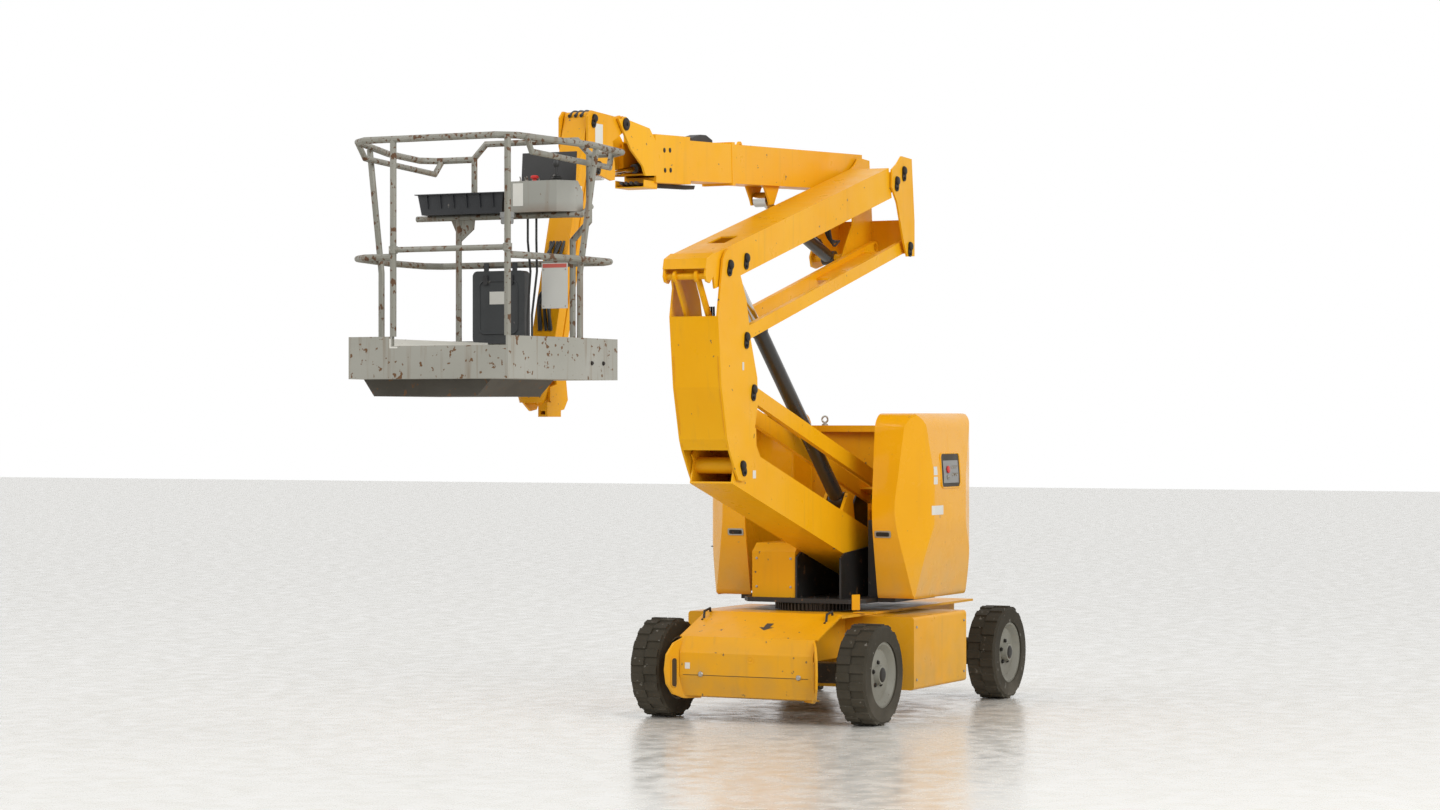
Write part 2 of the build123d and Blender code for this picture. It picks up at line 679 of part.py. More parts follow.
def pair_of_rails(start, angle, length, depth, brace_from, brace_to, open_end):
    """Two flat rails with round ends, joined by one brace, on a pin at each end."""
    shape = None
    for y0, y1 in both(ARM_Y, LINK_IN, LINK_OUT):
        rail = block(0, length, y0, y1, -depth / 2, depth / 2)
        rail += pin((0, 0), depth / 2, y0, y1) + pin((length, 0), depth / 2, y0, y1)
        shape = rail if shape is None else shape + rail
    shape += block(brace_from, brace_to, ARM_Y - LINK_IN, ARM_Y + LINK_IN, -6, 6)
    shape -= pin((0, 0), PIN_RADIUS + PIN_FIT, ARM_Y - 200, ARM_Y + 200)
    shape -= pin((open_end, 0), PIN_RADIUS + OPEN_PIVOT_FIT, ARM_Y - 200, ARM_Y + 200)
    return along(start, angle, shape)


nodes["lower_link"] = pair_of_rails(
    FOOT_LINK_PIN, LOWER_ARM_ANGLE, LOWER_ARM_LENGTH, LOWER_LINK_DEPTH, 60, 190, LOWER_ARM_LENGTH
)
nodes["upper_link"] = pair_of_rails(
    ELBOW_LINK_PIN, 180 - UPPER_ARM_ANGLE, UPPER_ARM_LENGTH, UPPER_LINK_DEPTH, 1500, 2250, UPPER_ARM_LENGTH
)

MAST_FRONT = [
    moved(ELBOW_PIN, (149, -286)),
    moved(KNEE_PIN, (261, 433)),
    moved(KNEE_PIN, (188, 146)),
    moved(KNEE_PIN, (160, 86)),
]


KNEE_EDGE = ((86, -27), (46, -82), (-54, -82), (-124, 3), (-134, 123), (-199, 333), (-194, 488))
ELBOW_EDGE = ((-266, -406), (-211, -186), (-86, 34))


def mast():
    """The knee mast: two shaped side plates, a folded front cover and the four arm pins."""
    side = (
        [moved(ELBOW_PIN, (84, 34))]
        + MAST_FRONT
        + [moved(KNEE_PIN, place) for place in KNEE_EDGE]
        + [moved(ELBOW_PIN, place) for place in ELBOW_EDGE]
    )
    shape = None
    for y0, y1 in both(ARM_Y, CHEEK_IN, CHEEK_OUT):
        plate = profile(side, y0, y1) + pin(ELBOW_PIN, 85, y0, y1)
        plate += pin(KNEE_PIN, 86, y0, y1)
        shape = plate if shape is None else shape + plate
    inner = [(x - 10, z) for x, z in reversed(MAST_FRONT)]
    shape += profile(MAST_FRONT + inner, ARM_Y - CHEEK_IN, ARM_Y + CHEEK_IN)
    for place in (ELBOW_PIN, ELBOW_LINK_PIN, KNEE_LINK_PIN, KNEE_PIN):
        shape += pin(place, PIN_RADIUS, ARM_Y - CHEEK_OUT, ARM_Y + CHEEK_OUT)
    return shape


nodes["mast"] = mast()


def upper_arm():
    """The upper arm: a box section behind, two open side plates and a nose in front."""
    open_to = 760
    nose = 250
    box_part = arm_box(open_to, UPPER_ARM_LENGTH - 60, UPPER_ARM_DEPTH, ARM_HALF, ARM_WALL)
    shape = along(ELBOW_PIN, 180 - UPPER_ARM_ANGLE, box_part)
    half = UPPER_ARM_DEPTH / 2
    for y0, y1 in both(ARM_Y, ARM_HALF - 12, ARM_HALF):
        side = block(-nose + 70, open_to + 1, y0, y1, -half, half)
        side += pin((UPPER_ARM_LENGTH, 0), 62, y0, y1)
        side += block(UPPER_ARM_LENGTH - 80, UPPER_ARM_LENGTH, y0, y1, -62, 62)
        shape += along(ELBOW_PIN, 180 - UPPER_ARM_ANGLE, side)
        ear = [
            moved(SYNC_TOP_PIN, (35, 0)),
            moved(SYNC_TOP_PIN, (20, 78)),
            moved(SYNC_TOP_PIN, (-60, 110)),
            moved(SYNC_TOP_PIN, (-60, 0)),
            moved(SYNC_TOP_PIN, (-20, -38)),
            moved(SYNC_TOP_PIN, (20, -30)),
        ]
        shape += profile(ear, y0, y1)
    lid = along(
        ELBOW_PIN,
        180 - UPPER_ARM_ANGLE,
        Pos(0, ARM_Y, 0) * block(-nose + 70, open_to + 1, -ARM_HALF, ARM_HALF, -half, -half + ARM_WALL),
    )
    eye_slot = Pos(0, ARM_Y, 0) * block(150, 340, -55, 55, -half - 1, -half + ARM_WALL + 1)
    shape += lid - along(ELBOW_PIN, 180 - UPPER_ARM_ANGLE, eye_slot)
    nose_plate = [
        moved(SYNC_TOP_PIN, (35, 40)),
        moved(SYNC_TOP_PIN, (20, 96)),
        moved(SYNC_TOP_PIN, (-62, 130)),
        moved(SYNC_TOP_PIN, (-62, 112)),
        moved(SYNC_TOP_PIN, (10, 82)),
        moved(SYNC_TOP_PIN, (24, 40)),
    ]
    shape += profile(nose_plate, ARM_Y - ARM_HALF, ARM_Y + ARM_HALF)
    shape += pin(SYNC_TOP_PIN, SYNC_PIN_RADIUS, ARM_Y - ARM_HALF, ARM_Y + ARM_HALF)
    shape += pin(LIFT_TOP_PIN, PIN_RADIUS, ARM_Y - ARM_HALF, ARM_Y - LIFT_RADIUS - 8)
    shape += pin(LIFT_TOP_PIN, PIN_RADIUS, ARM_Y + LIFT_RADIUS + 8, ARM_Y + ARM_HALF)
    for place, radius in ((ELBOW_PIN, PIN_RADIUS + 22), (HEAD_PIN, PIN_RADIUS + 22)):
        shape += pin(place, radius, ARM_Y - ARM_HALF, ARM_Y + ARM_HALF)
        shape -= pin(place, PIN_RADIUS + PIN_FIT, ARM_Y - 200, ARM_Y + 200)
    return shape


nodes["upper_arm"] = upper_arm()


def sync_link():
    """The two timing bars inside the mast, from the upper arm's ears down to the lower arm's."""
    length = math.dist(SYNC_TOP_PIN, SYNC_FOOT_PIN)
    rise = SYNC_TOP_PIN[1] - SYNC_FOOT_PIN[1]
    angle = math.degrees(math.asin(rise / length))
    shape = None
    for y0, y1 in both(ARM_Y, SYNC_IN, SYNC_OUT):
        bar = block(0, length, y0, y1, -22, 22)
        bar += pin((0, 0), 34, y0, y1) + pin((length, 0), 34, y0, y1)
        shape = bar if shape is None else shape + bar
    shape += pin((0, 0), SYNC_PIN_RADIUS, ARM_Y - SYNC_OUT, ARM_Y + SYNC_OUT)
    shape = along(SYNC_FOOT_PIN, angle, shape)
    return shape - pin(SYNC_TOP_PIN, SYNC_PIN_RADIUS + PIN_FIT, ARM_Y - 200, ARM_Y + 200)


nodes["sync_link"] = sync_link()


def cylinder_barrel(foot, head, middle_y, radius, rod_radius, gap):
    """A cylinder's barrel: an eye at its foot and a gland with the rod's bore at its head."""
    length = math.dist(foot, head) - gap
    angle = math.degrees(math.atan2(head[1] - foot[1], head[0] - foot[0]))
    tube = rod((radius, 0, 0), (length, 0, 0), radius) + rod((length - 60, 0, 0), (length, 0, 0), radius + 8)
    tube += pin((0, 0), radius + 4, -radius, radius)
    tube -= rod((radius + 40, 0, 0), (length + 1, 0, 0), rod_radius + PIN_FIT)
    tube -= pin((0, 0), PIN_RADIUS + PIN_FIT, -200, 200)
    return along(foot, angle, Pos(0, middle_y, 0) * tube)


def cylinder_rod(foot, head, middle_y, radius, rod_radius, inner_end):
    """A cylinder's rod with its eye, its pin hole wide enough for the open end."""
    length = math.dist(foot, head)
    angle = math.degrees(math.atan2(head[1] - foot[1], head[0] - foot[0]))
    bar = rod((inner_end, 0, 0), (length, 0, 0), rod_radius)
    bar += pin((length, 0), rod_radius + 18, -radius, radius)
    bar -= pin((length, 0), PIN_RADIUS + OPEN_PIVOT_FIT, -200, 200)
    return along(foot, angle, Pos(0, middle_y, 0) * bar)


nodes["lift_cylinder_barrel"] = cylinder_barrel(
    LIFT_FOOT_PIN, LIFT_TOP_PIN, ARM_Y, LIFT_RADIUS, LIFT_ROD_RADIUS, 540
)
nodes["lift_cylinder_rod"] = cylinder_rod(
    LIFT_FOOT_PIN, LIFT_TOP_PIN, ARM_Y, LIFT_RADIUS, LIFT_ROD_RADIUS, 420
)

# ---------------------------------------------------------------- boom carrier
FAR_PLATE = BOOM_Y - BOOM_HALF - 17
PLATE = 12
CARRIER_REAR = HEAD_PIN[0] - 286
CARRIER_BACK = ((-81, 159), (-241, 152), (-286, -234), (-286, -452))
UPRIGHT_FRONT = ((-171, -459), (-116, -374), (-11, -134), (69, -44), (69, 66), (-11, 106))
REACH_FRONT = ((69, -534), (139, -524), (159, -464), (129, -414), (9, -264), (29, 66))


def carrier():
    """The bracket on the upper arm's end: plates joined behind, that hold the boom's foot."""
    upright = [moved(HEAD_PIN, place) for place in CARRIER_BACK + UPRIGHT_FRONT]
    reach = [moved(HEAD_PIN, place) for place in CARRIER_BACK + REACH_FRONT]
    near = (ARM_Y + CHEEK_IN, ARM_Y + CHEEK_OUT)
    middle = (ARM_Y - CHEEK_OUT, ARM_Y - CHEEK_IN)
    shape = profile(upright, *near) + profile(upright, *middle) + profile(reach, *middle)
    shape += profile(reach, FAR_PLATE, FAR_PLATE + PLATE)
    back_low, back_high = HEAD_PIN[1] - 434, HEAD_PIN[1] - 224
    shape += block(CARRIER_REAR, CARRIER_REAR + PLATE, FAR_PLATE, near[1], back_low, back_high)
    shape += pin(HEAD_PIN, PIN_RADIUS, middle[0], near[1])
    shape += pin(HEAD_LINK_PIN, PIN_RADIUS, middle[0], ARM_Y - LINK_OUT - 8)
    shape += pin(HEAD_LINK_PIN, PIN_RADIUS, ARM_Y + LINK_OUT + 8, near[1])
    shape += pin(BOOM_PIVOT, PIN_RADIUS + 6, FAR_PLATE, middle[1])
    shape += pin(BOOM_CYLINDER_PIN, PIN_RADIUS, FAR_PLATE, middle[1])
    return shape


nodes["carrier"] = carrier()


# ---------------------------------------------------------------- boom
PAD_GAP = 0.3


def boom_outer():
    """The outer boom: a hollow box with a deeper sleeve at its mouth, a collar and cylinder lugs."""
    half = BOOM_DEPTH / 2
    shape = block(-80, BOOM_REACH - 10, -BOOM_HALF, BOOM_HALF, -half, half)
    shape += block(BOOM_REACH - 420, BOOM_REACH, -BOOM_HALF - 4, BOOM_HALF + 4, -half - 20, half + 20)
    collar = BOOM_REACH - 995
    shape += block(collar, collar + 40, -BOOM_HALF - 3, BOOM_HALF + 3, -half - 12, half + 12)
    for x in (BOOM_REACH - 390, collar - 260):
        eye = Pos(x, 0, half) * (Cylinder(30, 12, rotation=(90, 0, 0)) - Cylinder(16, 20, rotation=(90, 0, 0)))
        shape += eye & block(x - 40, x + 40, -10, 10, half - 1, half + 60)
    shape += pin((0, 0), 60, -BOOM_HALF - 3, BOOM_HALF + 3)
    hollow = half - BOOM_WALL
    shape -= block(60, BOOM_REACH + 1, -BOOM_HALF + BOOM_WALL, BOOM_HALF - BOOM_WALL, -hollow, hollow)
    for y0, y1 in both(0, FLY_HALF + PAD_GAP, BOOM_HALF - BOOM_WALL):
        shape += block(BOOM_REACH - 90, BOOM_REACH - 20, y0, y1, -60, 60)
    shape = along(BOOM_PIVOT, BOOM_ANGLE, shape)
    for y0, y1 in both(0, 52, 64):
        lug = [
            moved(BOOM_LUG_PIN, (-110, 88)),
            moved(BOOM_LUG_PIN, (-35, -25)),
            moved(BOOM_LUG_PIN, (25, -35)),
            moved(BOOM_LUG_PIN, (45, 0)),
            moved(BOOM_LUG_PIN, (110, 80)),
        ]
        shape += profile(lug, y0, y1)
    shape -= pin(BOOM_PIVOT, PIN_RADIUS + 6 + PIN_FIT, -300, 300)
    for y0, y1 in both(0, 46, 64):
        shape += pin(BOOM_LUG_PIN, PIN_RADIUS, y0, y1)
    return Pos(0, BOOM_Y, 0) * shape


nodes["boom_outer"] = boom_outer()
HEAD_OUT = 107
HEAD_IN = 95
FLY_TAIL = 180
FLY_SHOW = 62
HEAD_SIDE = (
    (84, 24),
    (-30, 26),
    (-279, 0),
    (-351, -62),
    (-365, -252),
    (-234, -261),
    (-198, -209),
    (-64, -132),
    (23, -41),
)


def boom_fly():
    """The sliding inner boom with the two head plates that carry the level bracket's pin."""
    half = FLY_DEPTH / 2
    front = BOOM_REACH + FLY_SHOW
    shape = block(FLY_TAIL, front, -FLY_HALF, FLY_HALF, -half, half)
    shape -= block(FLY_TAIL - 1, front + 1, -FLY_HALF + 8, FLY_HALF - 8, -half + 8, half - 8)
    for y0, y1 in both(0, FLY_HALF, BOOM_HALF - BOOM_WALL - PAD_GAP):
        shape += block(FLY_TAIL + 10, FLY_TAIL + 80, y0, y1, -60, 60)
    for y0, y1 in both(0, FLY_HALF, HEAD_IN):
        shape += block(BOOM_REACH + 10, front, y0, y1, -half, half - 30)
    shape = along(BOOM_PIVOT, BOOM_ANGLE, shape)
    head = [moved(LEVEL_PIN, place) for place in HEAD_SIDE]
    for y0, y1 in both(0, HEAD_IN, HEAD_OUT):
        shape += profile(head, y0, y1) + pin(LEVEL_PIN, 40, y0, y1)
    shape += pin(LEVEL_PIN, PIN_RADIUS, -HEAD_OUT, HEAD_OUT)
    for y0, y1 in both(0, LEVEL_RADIUS + 8, FLY_HALF):
        shape += pin(LEVEL_FOOT_PIN, LEVEL_PIN_RADIUS, y0, y1)
    shape += pin(LEVEL_FOOT_PIN, LEVEL_PIN_RADIUS, -LEVEL_RADIUS - 9, LEVEL_RADIUS + 9)
    return Pos(0, BOOM_Y, 0) * shape


nodes["boom_fly"] = boom_fly()
nodes["boom_cylinder_barrel"] = cylinder_barrel(
    BOOM_CYLINDER_PIN, BOOM_LUG_PIN, BOOM_Y, BOOM_CYLINDER_RADIUS, BOOM_ROD_RADIUS, 230
)
nodes["boom_cylinder_rod"] = cylinder_rod(
    BOOM_CYLINDER_PIN, BOOM_LUG_PIN, BOOM_Y, BOOM_CYLINDER_RADIUS, BOOM_ROD_RADIUS, 130
)
LEVEL_OUT = 89
LEVEL_IN = 77
BRACKET_SIDE = (
    (-36, 25),
    (34, 45),
    (80, 34),
    (354, 45),
    (390, 10),
    (390, -140),
    (334, -270),
    (254, -290),
    (130, -312),
    (90, -305),
    (84, -262),
    (114, -100),
    (-36, -30),
)


# ---------------------------------------------------------------- jib
def level_bracket():
    """The bracket that stays upright at the boom's end: two plates and a front cross plate."""
    side = [moved(LEVEL_PIN, place) for place in BRACKET_SIDE]
    shape = None
    for y0, y1 in both(0, LEVEL_IN, LEVEL_OUT):
        plate = profile(side, y0, y1) + pin(LEVEL_PIN, 44, y0, y1)
        shape = plate if shape is None else shape + plate
    web = moved(LEVEL_PIN, (124, -80))
    shape += block(web[0], web[0] + PLATE, -LEVEL_IN, LEVEL_IN, web[1], web[1] + 80)
    top_plate = [moved(LEVEL_PIN, place) for place in ((80, 34), (275, 42), (275, 32), (80, 24))]
    shape += profile(top_plate, -LEVEL_IN, LEVEL_IN)
    for place in (JIB_TOP_PIN, LINK_TOP_PIN):
        shape += pin(place, PIN_RADIUS, -LEVEL_OUT, LEVEL_OUT)
    for y0, y1 in both(0, LEVEL_RADIUS + 8, LEVEL_IN):
        shape += pin(LEVEL_LUG_PIN, LEVEL_PIN_RADIUS, y0, y1)
    shape -= pin(LEVEL_PIN, PIN_RADIUS + PIN_FIT, -300, 300)
    return Pos(0, BOOM_Y, 0) * shape


nodes["level_bracket"] = level_bracket()


def level_cylinder(part):
    """The small cylinder inside the fly that keeps the bracket upright: its barrel or its rod."""
    length = math.dist(LEVEL_FOOT_PIN, LEVEL_LUG_PIN)
    fall = LEVEL_LUG_PIN[1] - LEVEL_FOOT_PIN[1]
    angle = math.degrees(math.asin(fall / length))
    radius, bore = LEVEL_RADIUS, LEVEL_ROD_RADIUS
    if part == "barrel":
        body_end = length - 412
        shape = rod((15, 0, 0), (body_end, 0, 0), radius) + pin((0, 0), radius, -radius, radius)
        shape -= rod((60, 0, 0), (body_end + 1, 0, 0), bore + PIN_FIT)
        shape -= pin((0, 0), LEVEL_PIN_RADIUS + PIN_FIT, -200, 200)
    else:
        shape = rod((length - 520, 0, 0), (length, 0, 0), bore) + pin((length, 0), radius, -radius, radius)
        shape += pin((length, 0), LEVEL_PIN_RADIUS, -LEVEL_RADIUS - 7.5, LEVEL_RADIUS + 7.5)
    return along(LEVEL_FOOT_PIN, angle, Pos(0, BOOM_Y, 0) * shape)


nodes["level_cylinder_barrel"] = level_cylinder("barrel")
nodes["level_cylinder_rod"] = level_cylinder("rod")
JIB_HALF = 70
JIB_DEPTH = 74
LINK_BAR_HALF = 45
LINK_BAR_DEPTH = 50


def jib_bar(start, half, depth, foot_bore):
    """A hollow jib bar with a round eye at each end."""
    bar = block(0, JIB_LENGTH, -half, half, -depth / 2, depth / 2)
    bar -= block(60, JIB_LENGTH - 60, -half + 6, half - 6, -depth / 2 + 6, depth / 2 - 6)
    bar += pin((0, 0), depth / 2, -half, half) + pin((JIB_LENGTH, 0), depth / 2, -half, half)
    bar -= pin((0, 0), PIN_RADIUS + PIN_FIT, -200, 200)
    bar -= pin((JIB_LENGTH, 0), foot_bore, -200, 200)
    return along(start, JIB_ANGLE, Pos(0, BOOM_Y, 0) * bar)


nodes["jib_beam"] = jib_bar(JIB_TOP_PIN, JIB_HALF, JIB_DEPTH, PIN_RADIUS + PIN_FIT)
nodes["jib_link"] = jib_bar(LINK_TOP_PIN, LINK_BAR_HALF, LINK_BAR_DEPTH, PIN_RADIUS + OPEN_PIVOT_FIT)

ROTATOR_TOP = FLOOR_UNDERSIDE - 6
ROTATOR_LOW = FLOOR_UNDERSIDE - 112
TONGUE_HALF = 82
SPIGOT_RADIUS = 40
SUPPORT_IN = JIB_HALF + 6
SUPPORT_OUT = JIB_HALF + 18


def basket_support():
    """The jib's foot: two plates on the jib's pins, the tapered rotator housing and a rest below."""
    front = ROTATOR_X - 30
    side = [
        moved(JIB_FOOT_PIN, (-40, 25)),
        moved(JIB_FOOT_PIN, (5, 38)),
        moved(JIB_FOOT_PIN, (32, 20)),
        (JIB_FOOT_PIN[0] + 32, FLOOR_UNDERSIDE - 17),
        (front, FLOOR_UNDERSIDE - 32),
        (front, ROTATOR_LOW + 10),
        moved(LINK_FOOT_PIN, (60, -58)),
        moved(LINK_FOOT_PIN, (0, -50)),
        moved(LINK_FOOT_PIN, (-40, 0)),
    ]
    shape = None
    for y0, y1 in both(0, SUPPORT_IN, SUPPORT_OUT):
        plate = profile(side, y0, y1)
        shape = plate if shape is None else shape + plate
    shape += pin(JIB_FOOT_PIN, PIN_RADIUS, -SUPPORT_OUT, SUPPORT_OUT)
    for y0, y1 in both(0, LINK_BAR_HALF + 8, SUPPORT_OUT):
        shape += pin(LINK_FOOT_PIN, PIN_RADIUS, y0, y1)
    shape += pin(LINK_FOOT_PIN, PIN_RADIUS, -LINK_BAR_HALF - 9, LINK_BAR_HALF + 9)
    height = ROTATOR_TOP - ROTATOR_LOW
    shape += Pos(ROTATOR_X, 0, (ROTATOR_LOW + ROTATOR_TOP) / 2) * Cone(66, 92, height)
    shape -= Pos(ROTATOR_X, 0, ROTATOR_TOP) * Cylinder(SPIGOT_RADIUS + PIN_FIT, 120)
    low = LINK_FOOT_PIN[1] - 88
    rest = block(LINK_FOOT_PIN[0] + 34, ROTATOR_X, 34, SUPPORT_OUT, low, ROTATOR_LOW + 2)
    rest -= block(LINK_FOOT_PIN[0] + 33, ROTATOR_X + 1, 46, SUPPORT_IN, low + PLATE, LINK_FOOT_PIN[1] - 58)
    return Pos(0, BOOM_Y, 0) * (shape + rest)


nodes["basket_support"] = basket_support()

# ---------------------------------------------------------------- basket
FLOOR_TOP = FLOOR_UNDERSIDE + FLOOR_THICKNESS
TOE_BOARD_TOP = FLOOR_UNDERSIDE + TOE_BOARD
MID_RAIL_Z = FLOOR_UNDERSIDE + MID_RAIL
BOARD = 5
GATE_RIGHT = BASKET_MIDDLE_Y - 205
GATE_LEFT = BASKET_MIDDLE_Y + FLOOR_HALF_FRONT - 12
RAIL_FRONT = BASKET_FRONT - RAIL_RADIUS
RAIL_REAR = BASKET_REAR + BOARD + RAIL_RADIUS + 0.2
RAIL_FACE = RAIL_REAR + RAIL_RADIUS * math.cos(math.radians(18))
CONSOLE_X = BASKET_REAR + 195
CONSOLE_Z = FLOOR_UNDERSIDE + 833


def floor_half(x):
    """Half the floor's width at a place along it."""
    share = max(0, (x - BASKET_BEND) / SIDE_BEND)
    return FLOOR_HALF_REAR - share * (FLOOR_HALF_REAR - FLOOR_HALF_FRONT)


def basket_plan(grow):
    """The floor's outline: straight behind, drawn in towards the gate in front."""
    middle, rear, front = BASKET_MIDDLE_Y, FLOOR_HALF_REAR + grow, FLOOR_HALF_FRONT + grow
    left = [(BASKET_REAR - grow, rear), (BASKET_BEND, rear), (BASKET_FRONT + grow, front)]
    return [(x, middle + y) for x, y in left] + [(x, middle - y) for x, y in reversed(left)]


def basket_floor():
    """The tread floor with its toe boards, lower at the gate, and the rotator's tongue and spigot."""
    shape = plan(basket_plan(0), FLOOR_UNDERSIDE, FLOOR_TOP)
    shape += plan(basket_plan(0), FLOOR_TOP, TOE_BOARD_TOP) - plan(basket_plan(-BOARD), FLOOR_TOP, TOE_BOARD_TOP)
    gate_top = FLOOR_UNDERSIDE + GATE_BOARD
    shape -= block(BASKET_FRONT - 20, BASKET_FRONT + 1, GATE_RIGHT, GATE_LEFT, gate_top, TOE_BOARD_TOP + 1)
    tongue = (BOOM_Y - TONGUE_HALF, BOOM_Y + TONGUE_HALF)
    shape += block(ROTATOR_X, BASKET_REAR + 1, *tongue, FLOOR_UNDERSIDE, FLOOR_UNDERSIDE + 14)
    shape += Pos(ROTATOR_X, BOOM_Y, FLOOR_UNDERSIDE + 7) * Cylinder(TONGUE_HALF, 14)
    shape += Pos(ROTATOR_X, BOOM_Y, FLOOR_UNDERSIDE - 22) * Cylinder(SPIGOT_RADIUS, 44)
    return shape


nodes["basket_floor"] = basket_floor()


def floor_pan():
    """The shallow guard tray hung under the floor, closed at its ends, its long sides sloping in."""
    top, low = FLOOR_UNDERSIDE - SEAT_GAP, FLOOR_UNDERSIDE - 84
    rear, length, sheet = BASKET_REAR + 230, 620, 6
    outer = [(-590, top), (-530, low), (60, low), (140, top)]
    inner = [(-570, top + 1), (-522, low + sheet), (52, low + sheet), (120, top + 1)]

    def bar(section, start, amount):
        outline = Polyline(*[(start, y, z) for y, z in section], close=True)
        return extrude(make_face(outline), amount=amount, dir=(1, 0, 0))

    return bar(outer, rear, length) - bar(inner, rear + sheet, length - 2 * sheet)


nodes["floor_pan"] = floor_pan()


def gate_post_places():
    """The two posts that the gate bar slides on."""
    return ((RAIL_FRONT, GATE_RIGHT), (RAIL_FRONT, GATE_LEFT))


TOP_Z_FRONT = FLOOR_UNDERSIDE + TOP_RAIL_FRONT
TOP_Z_REAR = FLOOR_UNDERSIDE + TOP_RAIL_REAR
POST_RADIUS = RAIL_RADIUS - 1
CORNER = 70
HOOP_LEFT = BASKET_MIDDLE_Y + 370
HOOP_RIGHT = BASKET_MIDDLE_Y - 305
LEG_FOOT = BASKET_MIDDLE_Y + 275
SIDE_POSTS = ((RAIL_FRONT - 620, 1), (RAIL_FRONT - 310, -1))
CONSOLE_POST_Y = BASKET_MIDDLE_Y - 295


def basket_rails():
    """The welded tube rails: the top ring and its rear hoop, hand rails, mid rail, posts, console bar."""
    middle = BASKET_MIDDLE_Y
    front_half, rear_half = FLOOR_HALF_FRONT - 8, TOP_RAIL_HALF
    hoop_z = FLOOR_UNDERSIDE + HOOP_TOP
    ring = []
    for side, hoop_y in ((-1, HOOP_RIGHT), (1, HOOP_LEFT)):
        half_ring = [
            (RAIL_FRONT, middle, TOP_Z_FRONT),
            (RAIL_FRONT, middle + side * (front_half - CORNER), TOP_Z_FRONT),
            (RAIL_FRONT - CORNER, middle + side * (front_half + 10), TOP_Z_FRONT),
            (BASKET_BEND - 40, middle + side * rear_half, TOP_Z_FRONT - 15),
            (RAIL_REAR + CORNER, middle + side * rear_half, TOP_Z_REAR),
            (RAIL_REAR, middle + side * (rear_half - CORNER), TOP_Z_REAR),
            (RAIL_REAR, hoop_y, TOP_Z_REAR),
        ]
        ring.append(tube_run(half_ring, RAIL_RADIUS))
        hand = [
            (RAIL_FRONT - 110, middle + side * (front_half + 36), TOP_Z_FRONT),
            (RAIL_FRONT - 170, middle + side * (front_half + 32), TOP_Z_FRONT - HAND_RAIL_DROP),
            (RAIL_REAR + 50, middle + side * (rear_half - 80), TOP_Z_REAR - HAND_RAIL_DROP),
            (RAIL_REAR, middle + side * (rear_half - 95), TOP_Z_REAR),
        ]
        ring.append(tube_run(hand, RAIL_RADIUS - 2))
    shape = ring[0] + ring[1:]
    hoop = [
        (CONSOLE_X, HOOP_RIGHT, CONSOLE_Z - 2),
        (RAIL_REAR + 40, HOOP_RIGHT, CONSOLE_Z - 2),
        (RAIL_REAR, HOOP_RIGHT, CONSOLE_Z + 40),
        (RAIL_REAR, HOOP_RIGHT, hoop_z - CORNER),
        (RAIL_REAR, HOOP_RIGHT + CORNER, hoop_z),
        (RAIL_REAR, HOOP_LEFT - CORNER, hoop_z),
        (RAIL_REAR, HOOP_LEFT, hoop_z - CORNER),
        (RAIL_REAR, HOOP_LEFT, CONSOLE_Z - 25),
        (RAIL_REAR, LEG_FOOT, CONSOLE_Z - 120),
        (RAIL_REAR, LEG_FOOT, FLOOR_TOP),
    ]
    shape += tube_run(hoop, RAIL_RADIUS - 1)
    right, left = middle - MID_RAIL_HALF, middle + MID_RAIL_HALF - 35
    mid = [
        (RAIL_FRONT, GATE_RIGHT, MID_RAIL_Z),
        (RAIL_FRONT, middle - front_half + CORNER, MID_RAIL_Z),
        (RAIL_FRONT - CORNER, middle - front_half - 10, MID_RAIL_Z),
        (BASKET_BEND, right, MID_RAIL_Z),
        (RAIL_REAR + CORNER, right, MID_RAIL_Z),
        (RAIL_REAR, right + CORNER, MID_RAIL_Z),
        (RAIL_REAR, left - CORNER, MID_RAIL_Z),
        (RAIL_REAR + CORNER, left, MID_RAIL_Z),
        (BASKET_BEND, left, MID_RAIL_Z),
        (RAIL_FRONT - CORNER, GATE_LEFT + 22, MID_RAIL_Z),
        (RAIL_FRONT, GATE_LEFT, MID_RAIL_Z),
    ]
    shape += tube_run(mid, RAIL_RADIUS)
    for x, y in gate_post_places():
        shape += rod((x, y, TOE_BOARD_TOP), (x, y, TOP_Z_FRONT), POST_RADIUS)
        shape += block(x - 4, x + 4, y - 4, y + 4, FLOOR_TOP, TOE_BOARD_TOP + 10)
    for x, side in SIDE_POSTS:
        y = middle + side * (floor_half(x) - RAIL_RADIUS - BOARD - 4)
        rail_y = middle + side * (rear_half - 55 if side < 0 else rear_half - 4)
        foot = (x, y, FLOOR_TOP)
        shape += tube_run([foot, (x, y, MID_RAIL_Z - 60), (x, rail_y, TOP_Z_FRONT - 16)], POST_RADIUS)
    console = [
        (CONSOLE_X, middle - 545, CONSOLE_Z),
        (CONSOLE_X, middle + 355, CONSOLE_Z),
        (CONSOLE_X - 25, middle + 408, CONSOLE_Z),
        (RAIL_REAR + 45, middle + 404, CONSOLE_Z + 45),
        (RAIL_REAR, HOOP_LEFT, CONSOLE_Z + 60),
    ]
    shape += tube_run(console, RAIL_RADIUS - 2)
    shape += tube_run([(CONSOLE_X, CONSOLE_POST_Y, FLOOR_TOP), (CONSOLE_X, CONSOLE_POST_Y, CONSOLE_Z)], POST_RADIUS)
    gusset = [
        (CONSOLE_POST_Y - 45, CONSOLE_Z - 8),
        (CONSOLE_POST_Y + 95, CONSOLE_Z - 8),
        (CONSOLE_POST_Y + 90, CONSOLE_Z - 60),
        (CONSOLE_POST_Y + 10, CONSOLE_Z - 125),
    ]
    outline = Polyline(*[(CONSOLE_X - 4, y, z) for y, z in gusset], close=True)
    shape += extrude(make_face(outline), amount=8, dir=(1, 0, 0))
    return shape


